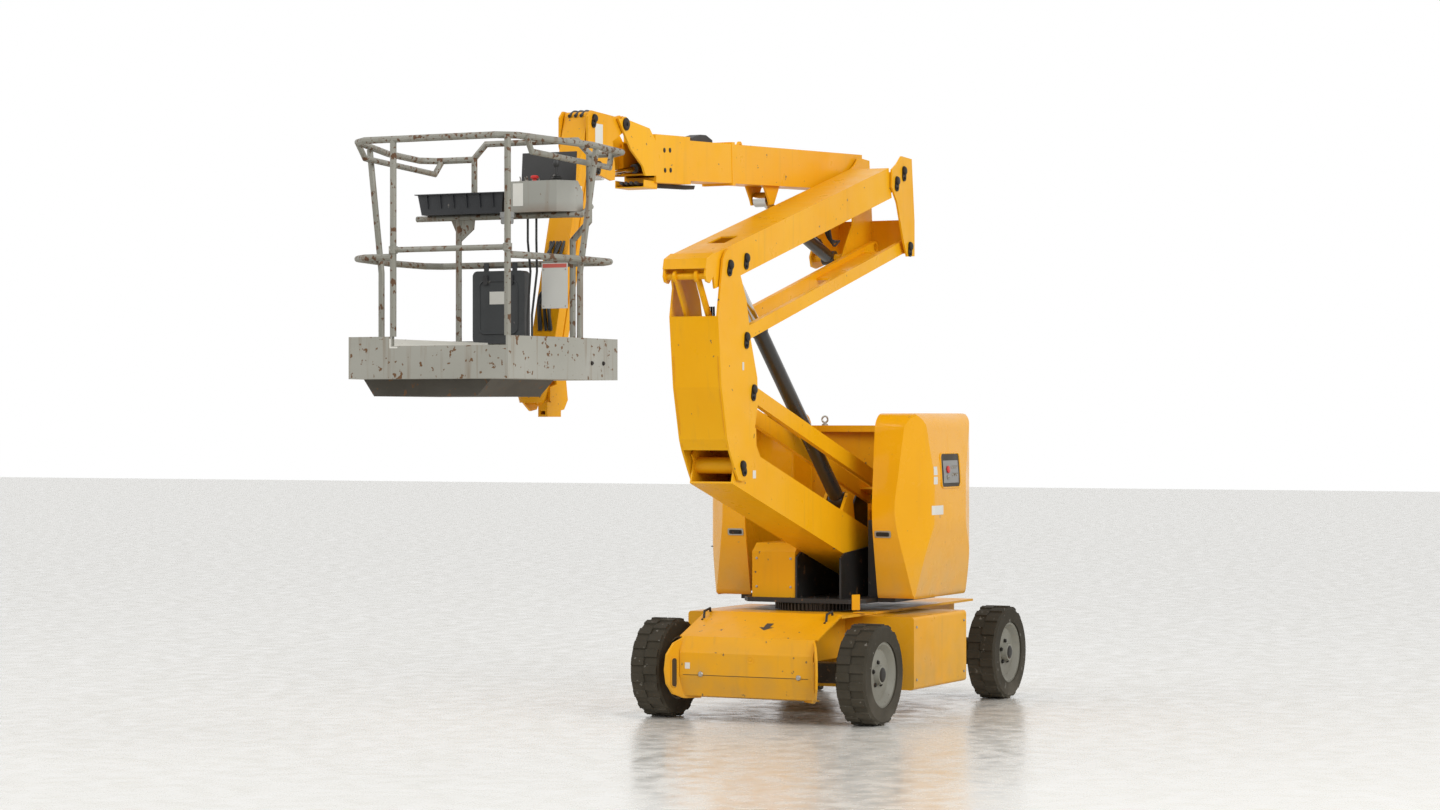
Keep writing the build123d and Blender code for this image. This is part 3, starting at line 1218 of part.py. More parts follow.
nodes["basket_rails"] = basket_rails()
GATE_BAR_Z = MID_RAIL_Z + RAIL_RADIUS + 0.5 + 18
GATE_BAR_RADIUS = 14


def gate_bar():
    """The sliding gate bar with a sleeve round each of its two posts."""
    shape = rod((RAIL_FRONT, GATE_RIGHT, GATE_BAR_Z), (RAIL_FRONT, GATE_LEFT, GATE_BAR_Z), GATE_BAR_RADIUS)
    for x, y in gate_post_places():
        shape += Pos(x, y, GATE_BAR_Z) * Cylinder(POST_RADIUS + 6, 2 * GATE_BAR_RADIUS + 8)
        shape -= Pos(x, y, GATE_BAR_Z) * Cylinder(POST_RADIUS + 0.3, 90)
    return shape


nodes["gate_bar"] = gate_bar()
CONSOLE_TOP = CONSOLE_Z + RAIL_RADIUS - 2 + SEAT_GAP
TRAY_RIGHT = BASKET_MIDDLE_Y - 496
TRAY_LEFT = BASKET_MIDDLE_Y + 8
TRAY_HEIGHT = 106


def tool_tray():
    """The open moulded tray on the console bar, its walls leaning out to a flat rim."""
    x0, x1 = CONSOLE_X - 75, CONSOLE_X + 75
    low, high = CONSOLE_TOP, CONSOLE_TOP + TRAY_HEIGHT
    y0, y1 = TRAY_RIGHT, TRAY_LEFT

    def shell(inset, bottom):
        base = Pos(0, 0, bottom) * Rectangle(x1 - x0 - 30 - 2 * inset, y1 - y0 - 30 - 2 * inset)
        mouth = Pos(0, 0, high) * Rectangle(x1 - x0 - 2 * inset, y1 - y0 - 2 * inset)
        return Pos((x0 + x1) / 2, (y0 + y1) / 2, 0) * loft([base, mouth])

    lip = block(x0 - 12, x1 + 12, y0 - 12, y1 + 12, high - 5, high)
    return shell(0, low) + lip - shell(4, low + 5)


nodes["tool_tray"] = tool_tray()
BOX_RIGHT = TRAY_LEFT + 14


def control_box():
    """The folded control box beside the tray, with one bevelled end."""
    x0, x1 = CONSOLE_X - 80, CONSOLE_X + 75
    y0, y1 = BOX_RIGHT, BASKET_MIDDLE_Y + 320
    outline = [(x0, y0), (x1, y0), (x1, y1), (x1 - 85, y1 + 66), (x0, y1 + 66)]
    shape = plan(outline, CONSOLE_TOP, CONSOLE_TOP + 156)
    slope = profile([(x0 - 1, CONSOLE_TOP + 160), (x0 - 1, CONSOLE_TOP + 100), (x0 + 60, CONSOLE_TOP + 160)], -900, 900)
    return shape - slope


nodes["control_box"] = control_box()


def control_lid():
    """The upright black lid behind the control box."""
    x = CONSOLE_X - 80
    lid = [
        (x - SEAT_GAP, CONSOLE_TOP + 90),
        (x - 12, CONSOLE_TOP + 90),
        (x - 30, CONSOLE_TOP + 312),
        (x - 18, CONSOLE_TOP + 312),
    ]
    return profile(lid, BASKET_MIDDLE_Y + 24, BASKET_MIDDLE_Y + 335)


nodes["control_lid"] = control_lid()


def document_box():
    """The plastic document box hung by two straps on the rear mid rail."""
    x0, x1 = BASKET_REAR + BOARD + 0.3, BASKET_REAR + 62
    y0, y1 = BASKET_MIDDLE_Y - 292, BASKET_MIDDLE_Y + 16
    low, high = TOE_BOARD_TOP - 16, MID_RAIL_Z - RAIL_RADIUS - 14
    box = block(x0, x1, y0, y1, low, high)
    box = fillet(box.edges().filter_by(Axis.X), 28)
    for y in (y0 + 70, y1 - 70):
        strap_x = RAIL_FACE + SEAT_GAP
        box += block(strap_x, strap_x + 4, y - 14, y + 14, high - 20, MID_RAIL_Z + 12)
    return box


nodes["document_box"] = document_box()
SIGN_X = RAIL_FACE + SEAT_GAP
nodes["sign_plate"] = block(
    SIGN_X, SIGN_X + 3, BASKET_MIDDLE_Y + 105, BASKET_MIDDLE_Y + 256, MID_RAIL_Z - 228, MID_RAIL_Z + 4
)


def control_cable(start_y, end_y):
    """A cable from the control box's gland down to the floor."""
    x = CONSOLE_X - 40
    route = [
        (x, start_y, CONSOLE_TOP - SEAT_GAP),
        (x, start_y, CONSOLE_TOP - 140),
        (x - 70, (start_y + end_y) / 2, MID_RAIL_Z - 40),
        (x - 82, end_y, MID_RAIL_Z - 260),
        (x - 82, end_y, FLOOR_TOP + SEAT_GAP),
    ]
    return tube_run(route, 6)


nodes["control_cable_left"] = control_cable(BASKET_MIDDLE_Y + 138, BASKET_MIDDLE_Y + 66)
nodes["control_cable_right"] = control_cable(BASKET_MIDDLE_Y + 88, BASKET_MIDDLE_Y + 40)

for name, shape in nodes.items():
    export_step(Pos(-ORIGIN_X, 0, 0) * shape, f"parts/{name}.step")
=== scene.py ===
import bpy
import json
import math
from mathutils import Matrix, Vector


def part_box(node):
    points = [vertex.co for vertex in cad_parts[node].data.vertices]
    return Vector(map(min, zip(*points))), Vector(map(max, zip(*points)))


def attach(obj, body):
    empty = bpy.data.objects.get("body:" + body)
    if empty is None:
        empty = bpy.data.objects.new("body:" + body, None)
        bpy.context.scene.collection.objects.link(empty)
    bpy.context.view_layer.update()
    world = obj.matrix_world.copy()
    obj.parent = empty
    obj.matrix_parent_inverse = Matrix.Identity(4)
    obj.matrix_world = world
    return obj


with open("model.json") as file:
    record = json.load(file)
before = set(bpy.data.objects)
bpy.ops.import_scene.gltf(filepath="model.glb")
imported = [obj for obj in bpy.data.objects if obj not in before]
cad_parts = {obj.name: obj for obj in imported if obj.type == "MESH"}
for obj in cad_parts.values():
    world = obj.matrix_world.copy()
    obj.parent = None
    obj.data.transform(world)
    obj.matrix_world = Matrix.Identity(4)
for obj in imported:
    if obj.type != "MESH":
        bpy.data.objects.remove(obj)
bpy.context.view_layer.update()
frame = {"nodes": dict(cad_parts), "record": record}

# ------------ tyres
# Solid non-marking rubber tyres, pressed on to the rims. The lugs are moulded with the tread, and years of
# hard floors have greyed the shoulders and rubbed the crown smooth.


def worn(name, colour, rough, fade, metal=0.0, fade_share=0.4, spots=None, spot_share=0.0, spot_scale=25.0,
         streaks=None, streak_share=0.0, dust=None, dust_low=0.0, dust_high=1.0,
         grain=0.12, grain_scale=90.0, coat=0.0, gloss=0.5):
    """A finish with fading, chips or spots, hanging streaks, dust that thins upwards and a fine grain."""
    finish = bpy.data.materials.new(name)
    finish.use_nodes = True
    tree = finish.node_tree
    shader = tree.nodes["Principled BSDF"]
    shader.inputs["Base Color"].default_value = (*colour, 1)
    shader.inputs["Roughness"].default_value = rough
    shader.inputs["Metallic"].default_value = metal
    shader.inputs["Coat Weight"].default_value = coat
    shader.inputs["Specular IOR Level"].default_value = gloss
    place = tree.nodes.new("ShaderNodeTexCoord").outputs["Object"]

    def noise(scale, detail, stretch=None):
        texture = tree.nodes.new("ShaderNodeTexNoise")
        texture.inputs["Scale"].default_value = scale
        texture.inputs["Detail"].default_value = detail
        if stretch:
            mapping = tree.nodes.new("ShaderNodeMapping")
            mapping.inputs["Scale"].default_value = stretch
            tree.links.new(place, mapping.inputs["Vector"])
            tree.links.new(mapping.outputs["Vector"], texture.inputs["Vector"])
        else:
            tree.links.new(place, texture.inputs["Vector"])
        return texture.outputs["Fac"]

    def between(value, low, high, out_low=0.0, out_high=1.0):
        share = tree.nodes.new("ShaderNodeMapRange")
        share.inputs["From Min"].default_value = low
        share.inputs["From Max"].default_value = high
        share.inputs["To Min"].default_value = out_low
        share.inputs["To Max"].default_value = out_high
        tree.links.new(value, share.inputs["Value"])
        return share.outputs["Result"]

    def laid_over(under, over, share):
        mix = tree.nodes.new("ShaderNodeMix")
        mix.data_type = "RGBA"
        tree.links.new(share, mix.inputs[0])
        if isinstance(under, tuple):
            mix.inputs[6].default_value = (*under, 1)
        else:
            tree.links.new(under, mix.inputs[6])
        mix.inputs[7].default_value = (*over, 1)
        return mix.outputs[2]

    look = laid_over(colour, fade, between(noise(1.7, 5.0), 0.35, 0.7, 0.0, fade_share))
    if spots:
        spot_edge = 0.735 - 0.25 * spot_share
        look = laid_over(look, spots, between(noise(spot_scale, 6.0), spot_edge, spot_edge + 0.015))
    if streaks:
        hanging = noise(1.0, 5.0, (26.0, 26.0, 1.6))
        look = laid_over(look, streaks, between(hanging, 0.56, 0.78, 0.0, streak_share))
    if dust:
        height = tree.nodes.new("ShaderNodeSeparateXYZ")
        tree.links.new(place, height.inputs["Vector"])
        patchy = tree.nodes.new("ShaderNodeMath")
        patchy.operation = "MULTIPLY"
        tree.links.new(between(height.outputs["Z"], dust_low, dust_high, 1.0, 0.0), patchy.inputs[0])
        tree.links.new(between(noise(6.0, 6.0), 0.3, 0.7, 0.15, 0.8), patchy.inputs[1])
        look = laid_over(look, dust, patchy.outputs[0])
    tree.links.new(look, shader.inputs["Base Color"])
    smoothest = max(0.05, rough - 0.08)
    roughest = min(1.0, rough + 0.14)
    tree.links.new(between(noise(7.0, 6.0), 0.3, 0.7, smoothest, roughest), shader.inputs["Roughness"])
    bump = tree.nodes.new("ShaderNodeBump")
    bump.inputs["Strength"].default_value = grain
    bump.inputs["Distance"].default_value = 0.002
    tree.links.new(noise(grain_scale, 4.0), bump.inputs["Height"])
    tree.links.new(bump.outputs["Normal"], shader.inputs["Normal"])
    return finish


def dress(finish, *names):
    """Puts a finish on CAD nodes."""
    for name in names:
        node = frame["nodes"][name]
        if len(node.data.materials) == 0:
            node.data.materials.append(finish)
        for slot in node.material_slots:
            slot.material = finish


rubber = worn(
    "worn rubber", (0.03, 0.025, 0.016), 0.8, fade=(0.052, 0.044, 0.03), fade_share=0.8,
    spots=(0.16, 0.15, 0.13), spot_share=0.28, spot_scale=30.0,
    dust=(0.12, 0.105, 0.08), dust_low=0.0, dust_high=0.4,
    grain=0.5, grain_scale=70.0, gloss=0.3)
corners = ("front_left", "front_right", "rear_left", "rear_right")
dress(rubber, *(f"tyre_{corner}" for corner in corners))

# ------------ wheels
# Welded steel disc wheels in grey paint. Five studs with nuts hold each disc to its hub, whose dark,
# greasy cap shows through the middle.
joints = frame["record"]["behaviour"]["joints"]
pin = {joint["name"]: Vector(joint["pos_m"]) for joint in joints if "pos_m" in joint}


def circle(centre, first, second, radius, sides):
    """Points round a circle that lies along two directions."""
    turns = [2 * math.pi * step / sides for step in range(sides)]
    return [centre + first * (radius * math.cos(turn)) + second * (radius * math.sin(turn)) for turn in turns]


def walls(rings, sides):
    """The faces between rings of points, closed at both ends."""
    faces = []
    for ring in range(rings - 1):
        here, ahead = ring * sides, (ring + 1) * sides
        for step in range(sides):
            after = (step + 1) % sides
            faces.append((here + step, here + after, ahead + after, ahead + step))
    faces.append(tuple(reversed(range(sides))))
    faces.append(tuple(range((rings - 1) * sides, rings * sides)))
    return faces


def turned(profile, centre, axis, sides=24):
    """A turned shape: (radius, height along the axis) pairs from one end to the other."""
    axis = Vector(axis).normalized()
    first = axis.orthogonal().normalized()
    second = axis.cross(first)
    points = []
    for radius, height in profile:
        points += circle(Vector(centre) + axis * height, first, second, radius, sides)
    return points, walls(len(profile), sides)


def piece(name, shapes, finish, body, edge=0.0, smooth=True):
    """One object of several shapes, with a finish, that moves with a body."""
    points, faces = [], []
    for shape_points, shape_faces in shapes:
        start = len(points)
        points += [tuple(point) for point in shape_points]
        faces += [tuple(start + index for index in face) for face in shape_faces]
    mesh = bpy.data.meshes.new(name)
    mesh.from_pydata(points, [], faces)
    mesh.materials.append(finish)
    thing = bpy.data.objects.new(name, mesh)
    bpy.context.collection.objects.link(thing)
    if smooth:
        mesh.shade_smooth()
        mesh.set_sharp_from_angle(angle=math.radians(35))
    if edge:
        bevel = thing.modifiers.new("soft edge", "BEVEL")
        bevel.width = edge
        bevel.segments = 2
        bevel.limit_method = "ANGLE"
    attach(thing, body)
    return thing


def bolt(place, out, size):
    """A hexagon head on its washer, of a size that is half the head's width."""
    washer = [(size * 1.25, 0), (size * 1.25, size * 0.25), (size * 0.9, size * 0.3)]
    head = [(size * 0.95, size * 0.25), (size * 0.95, size * 0.85), (size * 0.78, size)]
    return [turned(washer, place, out, 16), turned(head, place, out, 6)]


wheel_grey = worn(
    "wheel grey", (0.23, 0.225, 0.185), 0.55, fade=(0.33, 0.32, 0.28),
    spots=(0.1, 0.075, 0.05), spot_share=0.25, spot_scale=45.0,
    dust=(0.13, 0.115, 0.09), dust_low=0.05, dust_high=0.5)
greasy = worn(
    "greasy steel", (0.022, 0.02, 0.018), 0.5, fade=(0.06, 0.05, 0.04), metal=0.6,
    spots=(0.12, 0.06, 0.03), spot_share=0.3)
dress(wheel_grey, *(f"rim_{corner}" for corner in corners))
disc_depth = 0.032
cap_radius = 0.042
cap_profile = [(cap_radius, 0), (cap_radius, 0.032), (cap_radius * 0.8, 0.0365),
               (cap_radius * 0.45, 0.037), (0.004, 0.0372)]
stud_circle = 0.07
stud_size = 0.011
stud_turns = [math.radians(90 + 72 * stud) for stud in range(5)]
for corner in corners:
    side = 1 if corner.endswith("left") else -1
    out = Vector((0, side, 0))
    low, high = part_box(f"rim_{corner}")
    disc_y = (high.y if side > 0 else low.y) - side * disc_depth
    centre = pin[f"wheel_{corner}_spin"]
    face = Vector((centre.x, disc_y, centre.z))
    shapes = [turned(cap_profile, face, out)]
    for turn in stud_turns:
        shapes += bolt(face + Vector((math.cos(turn), 0, math.sin(turn))) * stud_circle, out, stud_size)
    piece(f"hub_{corner}", shapes, greasy, f"wheel_{corner}")

# ------------ axles and steering
# Welded axle beams, forged steering knuckles and the tie rod, all in black chassis paint that road dirt
# and grease have dulled. Hexagon nuts close the tie rod's ball joints.
upward = Vector((0, 0, 1))
chassis_black = worn(
    "chassis black", (0.01, 0.0095, 0.009), 0.5, fade=(0.025, 0.023, 0.02),
    spots=(0.13, 0.07, 0.035), spot_share=0.3,
    dust=(0.12, 0.11, 0.09), dust_low=0.1, dust_high=0.6, grain=0.3)
dress(chassis_black, "steer_axle", "drive_axle", "knuckle_left", "knuckle_right", "tie_rod")
steering_arm = Vector((-0.12, 0, 0))
ball_nut = [(0.018, 0), (0.018, 0.01), (0.012, 0.013)]
rod_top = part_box("tie_rod")[1].z
shapes = []
for name in ("steer_left", "steer_right"):
    ball = pin[name] + steering_arm
    shapes.append(turned(ball_nut, (ball.x, ball.y, rod_top), upward, 6))
piece("ball_joint_nuts", shapes, greasy, "tie_rod")

# ------------ chassis and its side boxes
# A welded steel frame with folded side boxes for the electrics, sprayed in the machine's yellow. Two
# hexagon bolts at each end of a box's outer wall hold it to the frame.
yellow = (0.8, 0.365, 0.003)
machine_yellow = worn(
    "machine yellow", yellow, 0.33, fade=(0.86, 0.44, 0.012), fade_share=0.5,
    spots=(0.19, 0.12, 0.06), spot_share=0.1, spot_scale=34.0,
    streaks=(0.55, 0.27, 0.03), streak_share=0.25,
    dust=(0.5, 0.3, 0.07), dust_low=0.1, dust_high=0.75,
    grain=0.08, grain_scale=45.0, coat=0.06, gloss=0.12)
dress(machine_yellow, "chassis_frame", "side_box_left", "side_box_right")
zinc = worn(
    "dulled zinc", (0.42, 0.4, 0.36), 0.42, fade=(0.3, 0.27, 0.22), metal=0.85,
    spots=(0.16, 0.08, 0.035), spot_share=0.35, spot_scale=60.0)
bolt_from_end = 0.04
bolt_from_edge = 0.06
shapes = []
for name, side in (("side_box_left", 1), ("side_box_right", -1)):
    low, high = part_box(name)
    face_y = high.y if side > 0 else low.y
    for x in (low.x + bolt_from_end, high.x - bolt_from_end):
        for z in (low.z + bolt_from_edge, high.z - bolt_from_edge):
            shapes += bolt((x, face_y, z), (0, side, 0), 0.007)
piece("side_box_bolts", shapes, zinc, "chassis")

# ------------ front cover
# One folded steel cover hinged at its foot: a slope, an upright face and a flared cheek on each side with
# a pressed oblong slot. Two quarter-turn latches close its seam. The cheeks are scuffed by kerbs.
axis_x = pin["slew"].x
rearward = Vector((-1, 0, 0))
leftward = Vector((0, 1, 0))
downward = Vector((0, 0, -1))


def pressed(outline, origin, along, up, depth):
    """A flat plate: an outline in the plane of two directions, thickened along their cross product."""
    along, up = Vector(along).normalized(), Vector(up).normalized()
    out = along.cross(up)
    count = len(outline)
    points = [Vector(origin) + along * u + up * v for u, v in outline]
    points += [point + out * depth for point in points]
    faces = [tuple(reversed(range(count))), tuple(range(count, 2 * count))]
    faces += [(step, (step + 1) % count, count + (step + 1) % count, count + step) for step in range(count)]
    return points, faces


def card(width, height, corner, steps=4):
    """The outline of a rectangle with round corners, about its middle."""
    outline = []
    for turn, (across, up) in enumerate(((1, 1), (-1, 1), (-1, -1), (1, -1))):
        for step in range(steps + 1):
            angle = math.pi / 2 * (turn + step / steps)
            u = across * (width / 2 - corner) + corner * math.cos(angle)
            v = up * (height / 2 - corner) + corner * math.sin(angle)
            outline.append((u, v))
    return outline


def hose(points, radius, sides=12, steps=8):
    """A round bar or hose that runs smoothly through points."""
    points = [Vector(point) for point in points]
    ends = [2 * points[0] - points[1]] + points + [2 * points[-1] - points[-2]]
    path = []
    for a, b, c, d in zip(ends, ends[1:], ends[2:], ends[3:]):
        for step in range(steps):
            t = step / steps
            bend = 2 * b + (c - a) * t
            bend += (2 * a - 5 * b + 4 * c - d) * t * t
            bend += (3 * b - a - 3 * c + d) * t ** 3
            path.append(0.5 * bend)
    path.append(points[-1])
    tube = []
    side = (path[1] - path[0]).orthogonal().normalized()
    for place, centre in enumerate(path):
        ahead = (path[min(place + 1, len(path) - 1)] - path[max(place - 1, 0)]).normalized()
        side = (side - ahead * side.dot(ahead)).normalized()
        tube += circle(centre, side, ahead.cross(side), radius, sides)
    return tube, walls(len(path), sides)


def laid_on(node, start, toward):
    """Where a straight line from a point first meets a CAD node, and the surface's direction there."""
    hit, place, out, _ = frame["nodes"][node].ray_cast(Vector(start), Vector(toward).normalized())
    return (place, out) if hit else (Vector(start), -Vector(toward).normalized())


def film(node, centre, toward, width, height, lift=0.0008):
    """A thin film that follows a CAD node's surface, seen along a direction, with an upright edge."""
    toward = Vector(toward).normalized()
    up = upward - toward * toward.z
    up.normalize()
    across = toward.cross(up)
    steps = 6
    points, faces = [], []
    for row in range(steps + 1):
        for column in range(steps + 1):
            along_width = across * (width * (column / steps - 0.5))
            along_height = up * (height * (row / steps - 0.5))
            place, _ = laid_on(node, Vector(centre) + along_width + along_height - toward * 0.2, toward)
            points.append(place - toward * lift)
    for row in range(steps):
        for column in range(steps):
            first = row * (steps + 1) + column
            faces.append((first, first + steps + 1, first + steps + 2, first + 1))
    return points, faces


def blank_label(name, node, body, centre, toward, width, height):
    """A blank white label stuck on a CAD node."""
    label = film(node, centre, toward, width, height)
    piece(name, [label], blank_white, body, smooth=False)


scuffed_yellow = worn(
    "scuffed yellow", yellow, 0.36, fade=(0.84, 0.42, 0.012), fade_share=0.6,
    spots=(0.1, 0.075, 0.05), spot_share=0.22, spot_scale=22.0,
    streaks=(0.45, 0.24, 0.05), streak_share=0.3,
    dust=(0.46, 0.28, 0.08), dust_low=0.05, dust_high=0.6,
    grain=0.12, grain_scale=40.0, coat=0.06, gloss=0.12)
# A near-black finish with brownish patches, laid in the cover's seam and slots: painted shade in the gaps.
painted_gap_shade = worn("painted gap shade", (0.035, 0.024, 0.014), 0.8, fade=(0.1, 0.06, 0.02), fade_share=0.7)
blank_white = worn(
    "blank film", (0.72, 0.71, 0.66), 0.45, fade=(0.55, 0.53, 0.46), fade_share=0.6,
    spots=(0.35, 0.3, 0.22), spot_share=0.15)
# A black finish for the printed arrow on the slope, and for the painted shade in the control recess.
black_print_and_shade = worn(
    "black print and recess shade", (0.03, 0.026, 0.022), 0.6, fade=(0.09, 0.07, 0.04),
    spots=(0.5, 0.28, 0.03), spot_share=0.12)
dress(scuffed_yellow, "front_cover")

# The seam is drawn as a thin near-black strip on the cover: painted shade in the gap.
seam_z = 0.272
seam = film("front_cover", (axis_x + 1.1, -0.004, seam_z), rearward, 0.8, 0.0035)
piece("front_cover_seam_shade", [seam], painted_gap_shade, "chassis", smooth=False)

latch_height = 0.0075
latch_head = [(0.016, 0), (0.016, 0.003), (0.012, 0.007), (0.002, latch_height)]
latch_blade = card(0.018, 0.004, 0.0015)
shapes = []
for y in (-0.29, 0.335):
    place, out = laid_on("front_cover", (axis_x + 1.2, y, seam_z + 0.006), rearward)
    shapes.append(turned(latch_head, place, out, 20))
    shapes.append(pressed(latch_blade, place + out * latch_height, leftward, upward, 0.002))
piece("front_cover_latches", shapes, zinc, "chassis")

place, out = laid_on("front_cover", (axis_x + 1.2, 0.03, 0.37), rearward)
boss_profile = [(0.024, -0.001), (0.024, 0.0016), (0.019, 0.0022), (0.017, 0.0008),
                (0.008, 0.0006), (0.007, 0.004), (0.001, 0.0042)]
piece("front_cover_boss", [turned(boss_profile, place, out, 32)], scuffed_yellow, "chassis")
centre = (axis_x + 1.1, -0.375, 0.325)
blank_label("front_cover_blank_label", "front_cover", "chassis", centre, rearward, 0.032, 0.036)

place, out = laid_on("front_cover", (axis_x + 0.79, 0.05, 1.0), downward)
slope_up = leftward.cross(out) * -1
arrow_outline = [(0.0, -0.052), (0.046, -0.01), (0.02, -0.012), (0.024, 0.045),
                 (-0.02, 0.045), (-0.018, -0.012), (-0.046, -0.01)]
arrow = pressed(arrow_outline, place + out * 0.0004, leftward, slope_up, 0.0008)
piece("slope_arrow", [arrow], black_print_and_shade, "chassis", smooth=False)

# Each pressed slot is filled with a near-black plate: painted shade in the recess.
slot_outline = card(0.034, 0.165, 0.0168, 6)
slot_shades, rims = [], []
for side in (1, -1):
    along = Vector((0.857 * side, 0.514, 0))
    out = along.cross(upward)
    middle = Vector((axis_x + 1.0035, side * 0.447, 0.285))
    slot_shades.append(pressed(slot_outline, middle + out * 0.0012, along, upward, 0.0012))
    rim = [middle + along * u * 1.12 + Vector((0, 0, v * 1.03)) + out * 0.0022 for u, v in slot_outline]
    rims.append(hose(rim + [rim[0]], 0.0032, 8, 1))
piece("cheek_slot_shades", slot_shades, painted_gap_shade, "chassis", smooth=False)
piece("cheek_slot_rims", rims, scuffed_yellow, "chassis")

# ------------ deck bar and base tab
# A flat steel bar welded on the deck, and above it a small tab welded to the chamfered corner of the
# turret's base plate. Both are in machine yellow, and the tab turns with the turret.
tab_thickness = 0.006
bar_place = (axis_x + 0.292, 0.458, 0.6135)
deck_bar = pressed(card(0.055, 0.15, 0.004), bar_place, (1, 0, 0), leftward, tab_thickness)
piece("deck_tab", [deck_bar], machine_yellow, "chassis", edge=0.0015)
place, out = laid_on("turret_base", (axis_x + 0.39, 0.6, 0.675), (-0.573, -0.819, 0))
foot = place + out * 0.0005 - Vector((0, 0, 0.004))
tab = pressed(card(0.055, 0.092, 0.004), foot, upward.cross(out), upward, tab_thickness)
piece("base_tab", [tab], machine_yellow, "turret", edge=0.0015)

# ------------ hand holds on the slope
# Two bent round bars in black paint, which is rubbed where hands grip them. A small hexagon bolt beside
# each foot holds it to the cover.
dress(chassis_black, "grab_handle_left", "grab_handle_right")
shapes = []
for name in ("grab_handle_left", "grab_handle_right"):
    low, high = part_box(name)
    middle_y = (low.y + high.y) / 2
    for x in (low.x - 0.016, high.x + 0.014):
        shapes += bolt(*laid_on("front_cover", (x, middle_y, 1.0), downward), 0.006)
piece("hand_hold_bolts", shapes, greasy, "chassis")

# ------------ slewing ring and turret base
# A toothed steel ring, dark with grease, and the welded black base plate that turns on it. A circle of
# bolts clamps the plate to the bearing where no upright covers it.
ring_grease = worn(
    "ring grease", (0.03, 0.026, 0.022), 0.38, fade=(0.07, 0.055, 0.035), metal=0.5,
    spots=(0.14, 0.1, 0.06), spot_share=0.25)
dress(ring_grease, "slew_gear")
dress(chassis_black, "turret_base")
bolt_circle = 0.205
plate_top = 0.688
shapes = []
for spot in circle(Vector((axis_x, 0, 0.72)), Vector((1, 0, 0)), leftward, bolt_circle, 16):
    place, _ = laid_on("turret_base", spot, downward)
    if abs(place.z - plate_top) < 0.01:
        shapes += bolt(place, upward, 0.009)
piece("slewing_bolts", shapes, greasy, "turret")

# ------------ hoses and valve block by the arms' foot
# A steel valve block on the base plate, with four hexagon unions. Rubber hoses rise from them, bend over
# and run back towards the tail.


def hose_row(name, body, radius, lanes):
    """Rubber hoses side by side: for each its place across the lift and the (x, z) points of its path."""
    shapes = [hose([(x, y, z) for x, z in path], radius) for y, path in lanes]
    piece(name, shapes, black_hose, body)


black_hose = worn(
    "black hose", (0.02, 0.02, 0.02), 0.55, fade=(0.05, 0.047, 0.042),
    spots=(0.14, 0.12, 0.09), spot_share=0.15, grain=0.25)
block_foot = 0.6885
union = [(0.013, 0.04), (0.013, 0.062), (0.011, 0.072)]
lanes = []
shapes = [pressed(card(0.15, 0.16, 0.006), (axis_x + 0.085, -0.215, block_foot), (1, 0, 0), leftward, 0.045)]
for lane in range(4):
    y = -0.17 - 0.03 * lane
    union_x = axis_x + 0.1 - 0.03 * lane
    lanes.append((y, [(union_x, 0.695), (union_x + 0.01, 0.8), (axis_x - 0.02 - 0.02 * lane, 0.92),
                      (axis_x - 0.24, 0.95), (axis_x - 0.42, 0.9)]))
    shapes.append(turned(union, (union_x, y, block_foot), upward, 6))
hose_row("base_hoses", "turret", 0.01, lanes)
piece("valve_block", shapes, greasy, "turret", edge=0.001)

# ------------ counterweight
# A cast iron tail in machine yellow, heavy and slightly rough from its sand mould. Two eye bolts on its
# top take the hooks that lift it.
cast_yellow = worn(
    "cast yellow", (0.76, 0.335, 0.003), 0.42, fade=(0.84, 0.42, 0.012), fade_share=0.5,
    spots=(0.16, 0.1, 0.05), spot_share=0.16, spot_scale=26.0,
    streaks=(0.5, 0.25, 0.04), streak_share=0.35,
    dust=(0.4, 0.3, 0.15), dust_low=0.6, dust_high=1.1,
    grain=0.35, grain_scale=28.0, coat=0.06, gloss=0.12)
dress(cast_yellow, "counterweight")
eye_radius = 0.02
eye_foot = [(0.02, 0), (0.02, 0.008), (0.011, 0.012), (0.011, 0.02)]
shapes = []
for y in (-0.36, 0.36):
    place, _ = laid_on("counterweight", (axis_x - 0.925, y, 2.0), downward)
    shapes.append(turned(eye_foot, place, upward, 20))
    eye = circle(place + Vector((0, 0, 0.038)), leftward, upward, eye_radius, 16)
    shapes.append(hose(eye + [eye[0]], 0.006, 8, 1))
piece("tail_eye_bolts", shapes, zinc, "turret")

# ------------ side covers
# Moulded plastic covers in a glossy yellow, bowed and round-cornered, hung at the rear. A steel paddle
# latch closes each front facet.
moulded_yellow = worn(
    "moulded yellow", (0.82, 0.375, 0.002), 0.22, fade=(0.88, 0.45, 0.012), fade_share=0.45,
    spots=(0.62, 0.3, 0.03), spot_share=0.12, spot_scale=20.0,
    streaks=(0.66, 0.32, 0.03), streak_share=0.2,
    dust=(0.55, 0.36, 0.12), dust_low=0.65, dust_high=1.0,
    grain=0.05, grain_scale=30.0, coat=0.25, gloss=0.18)
dress(moulded_yellow, "cover_left", "cover_right")
paddle_pin = [(0.008, 0), (0.008, 0.003), (0.006, 0.004)]
for name, side in (("cover_left", 1), ("cover_right", -1)):
    place, out = laid_on(name, (axis_x + 0.4, side * 0.485, 1.072), rearward)
    across = upward.cross(out).normalized()
    up = out.cross(across)
    plate = pressed(card(0.105, 0.042, 0.01), place + out * 0.0005, across, up, 0.0035)
    piece(f"{name}_latch_plate", [plate], zinc, name, edge=0.001)
    paddle = pressed(card(0.085, 0.026, 0.008), place + out * 0.004, across, up, 0.0008)
    pivot = turned(paddle_pin, place + out * 0.0045 + across * 0.022, out, 16)
    piece(f"{name}_latch_paddle", [paddle, pivot], greasy, name)

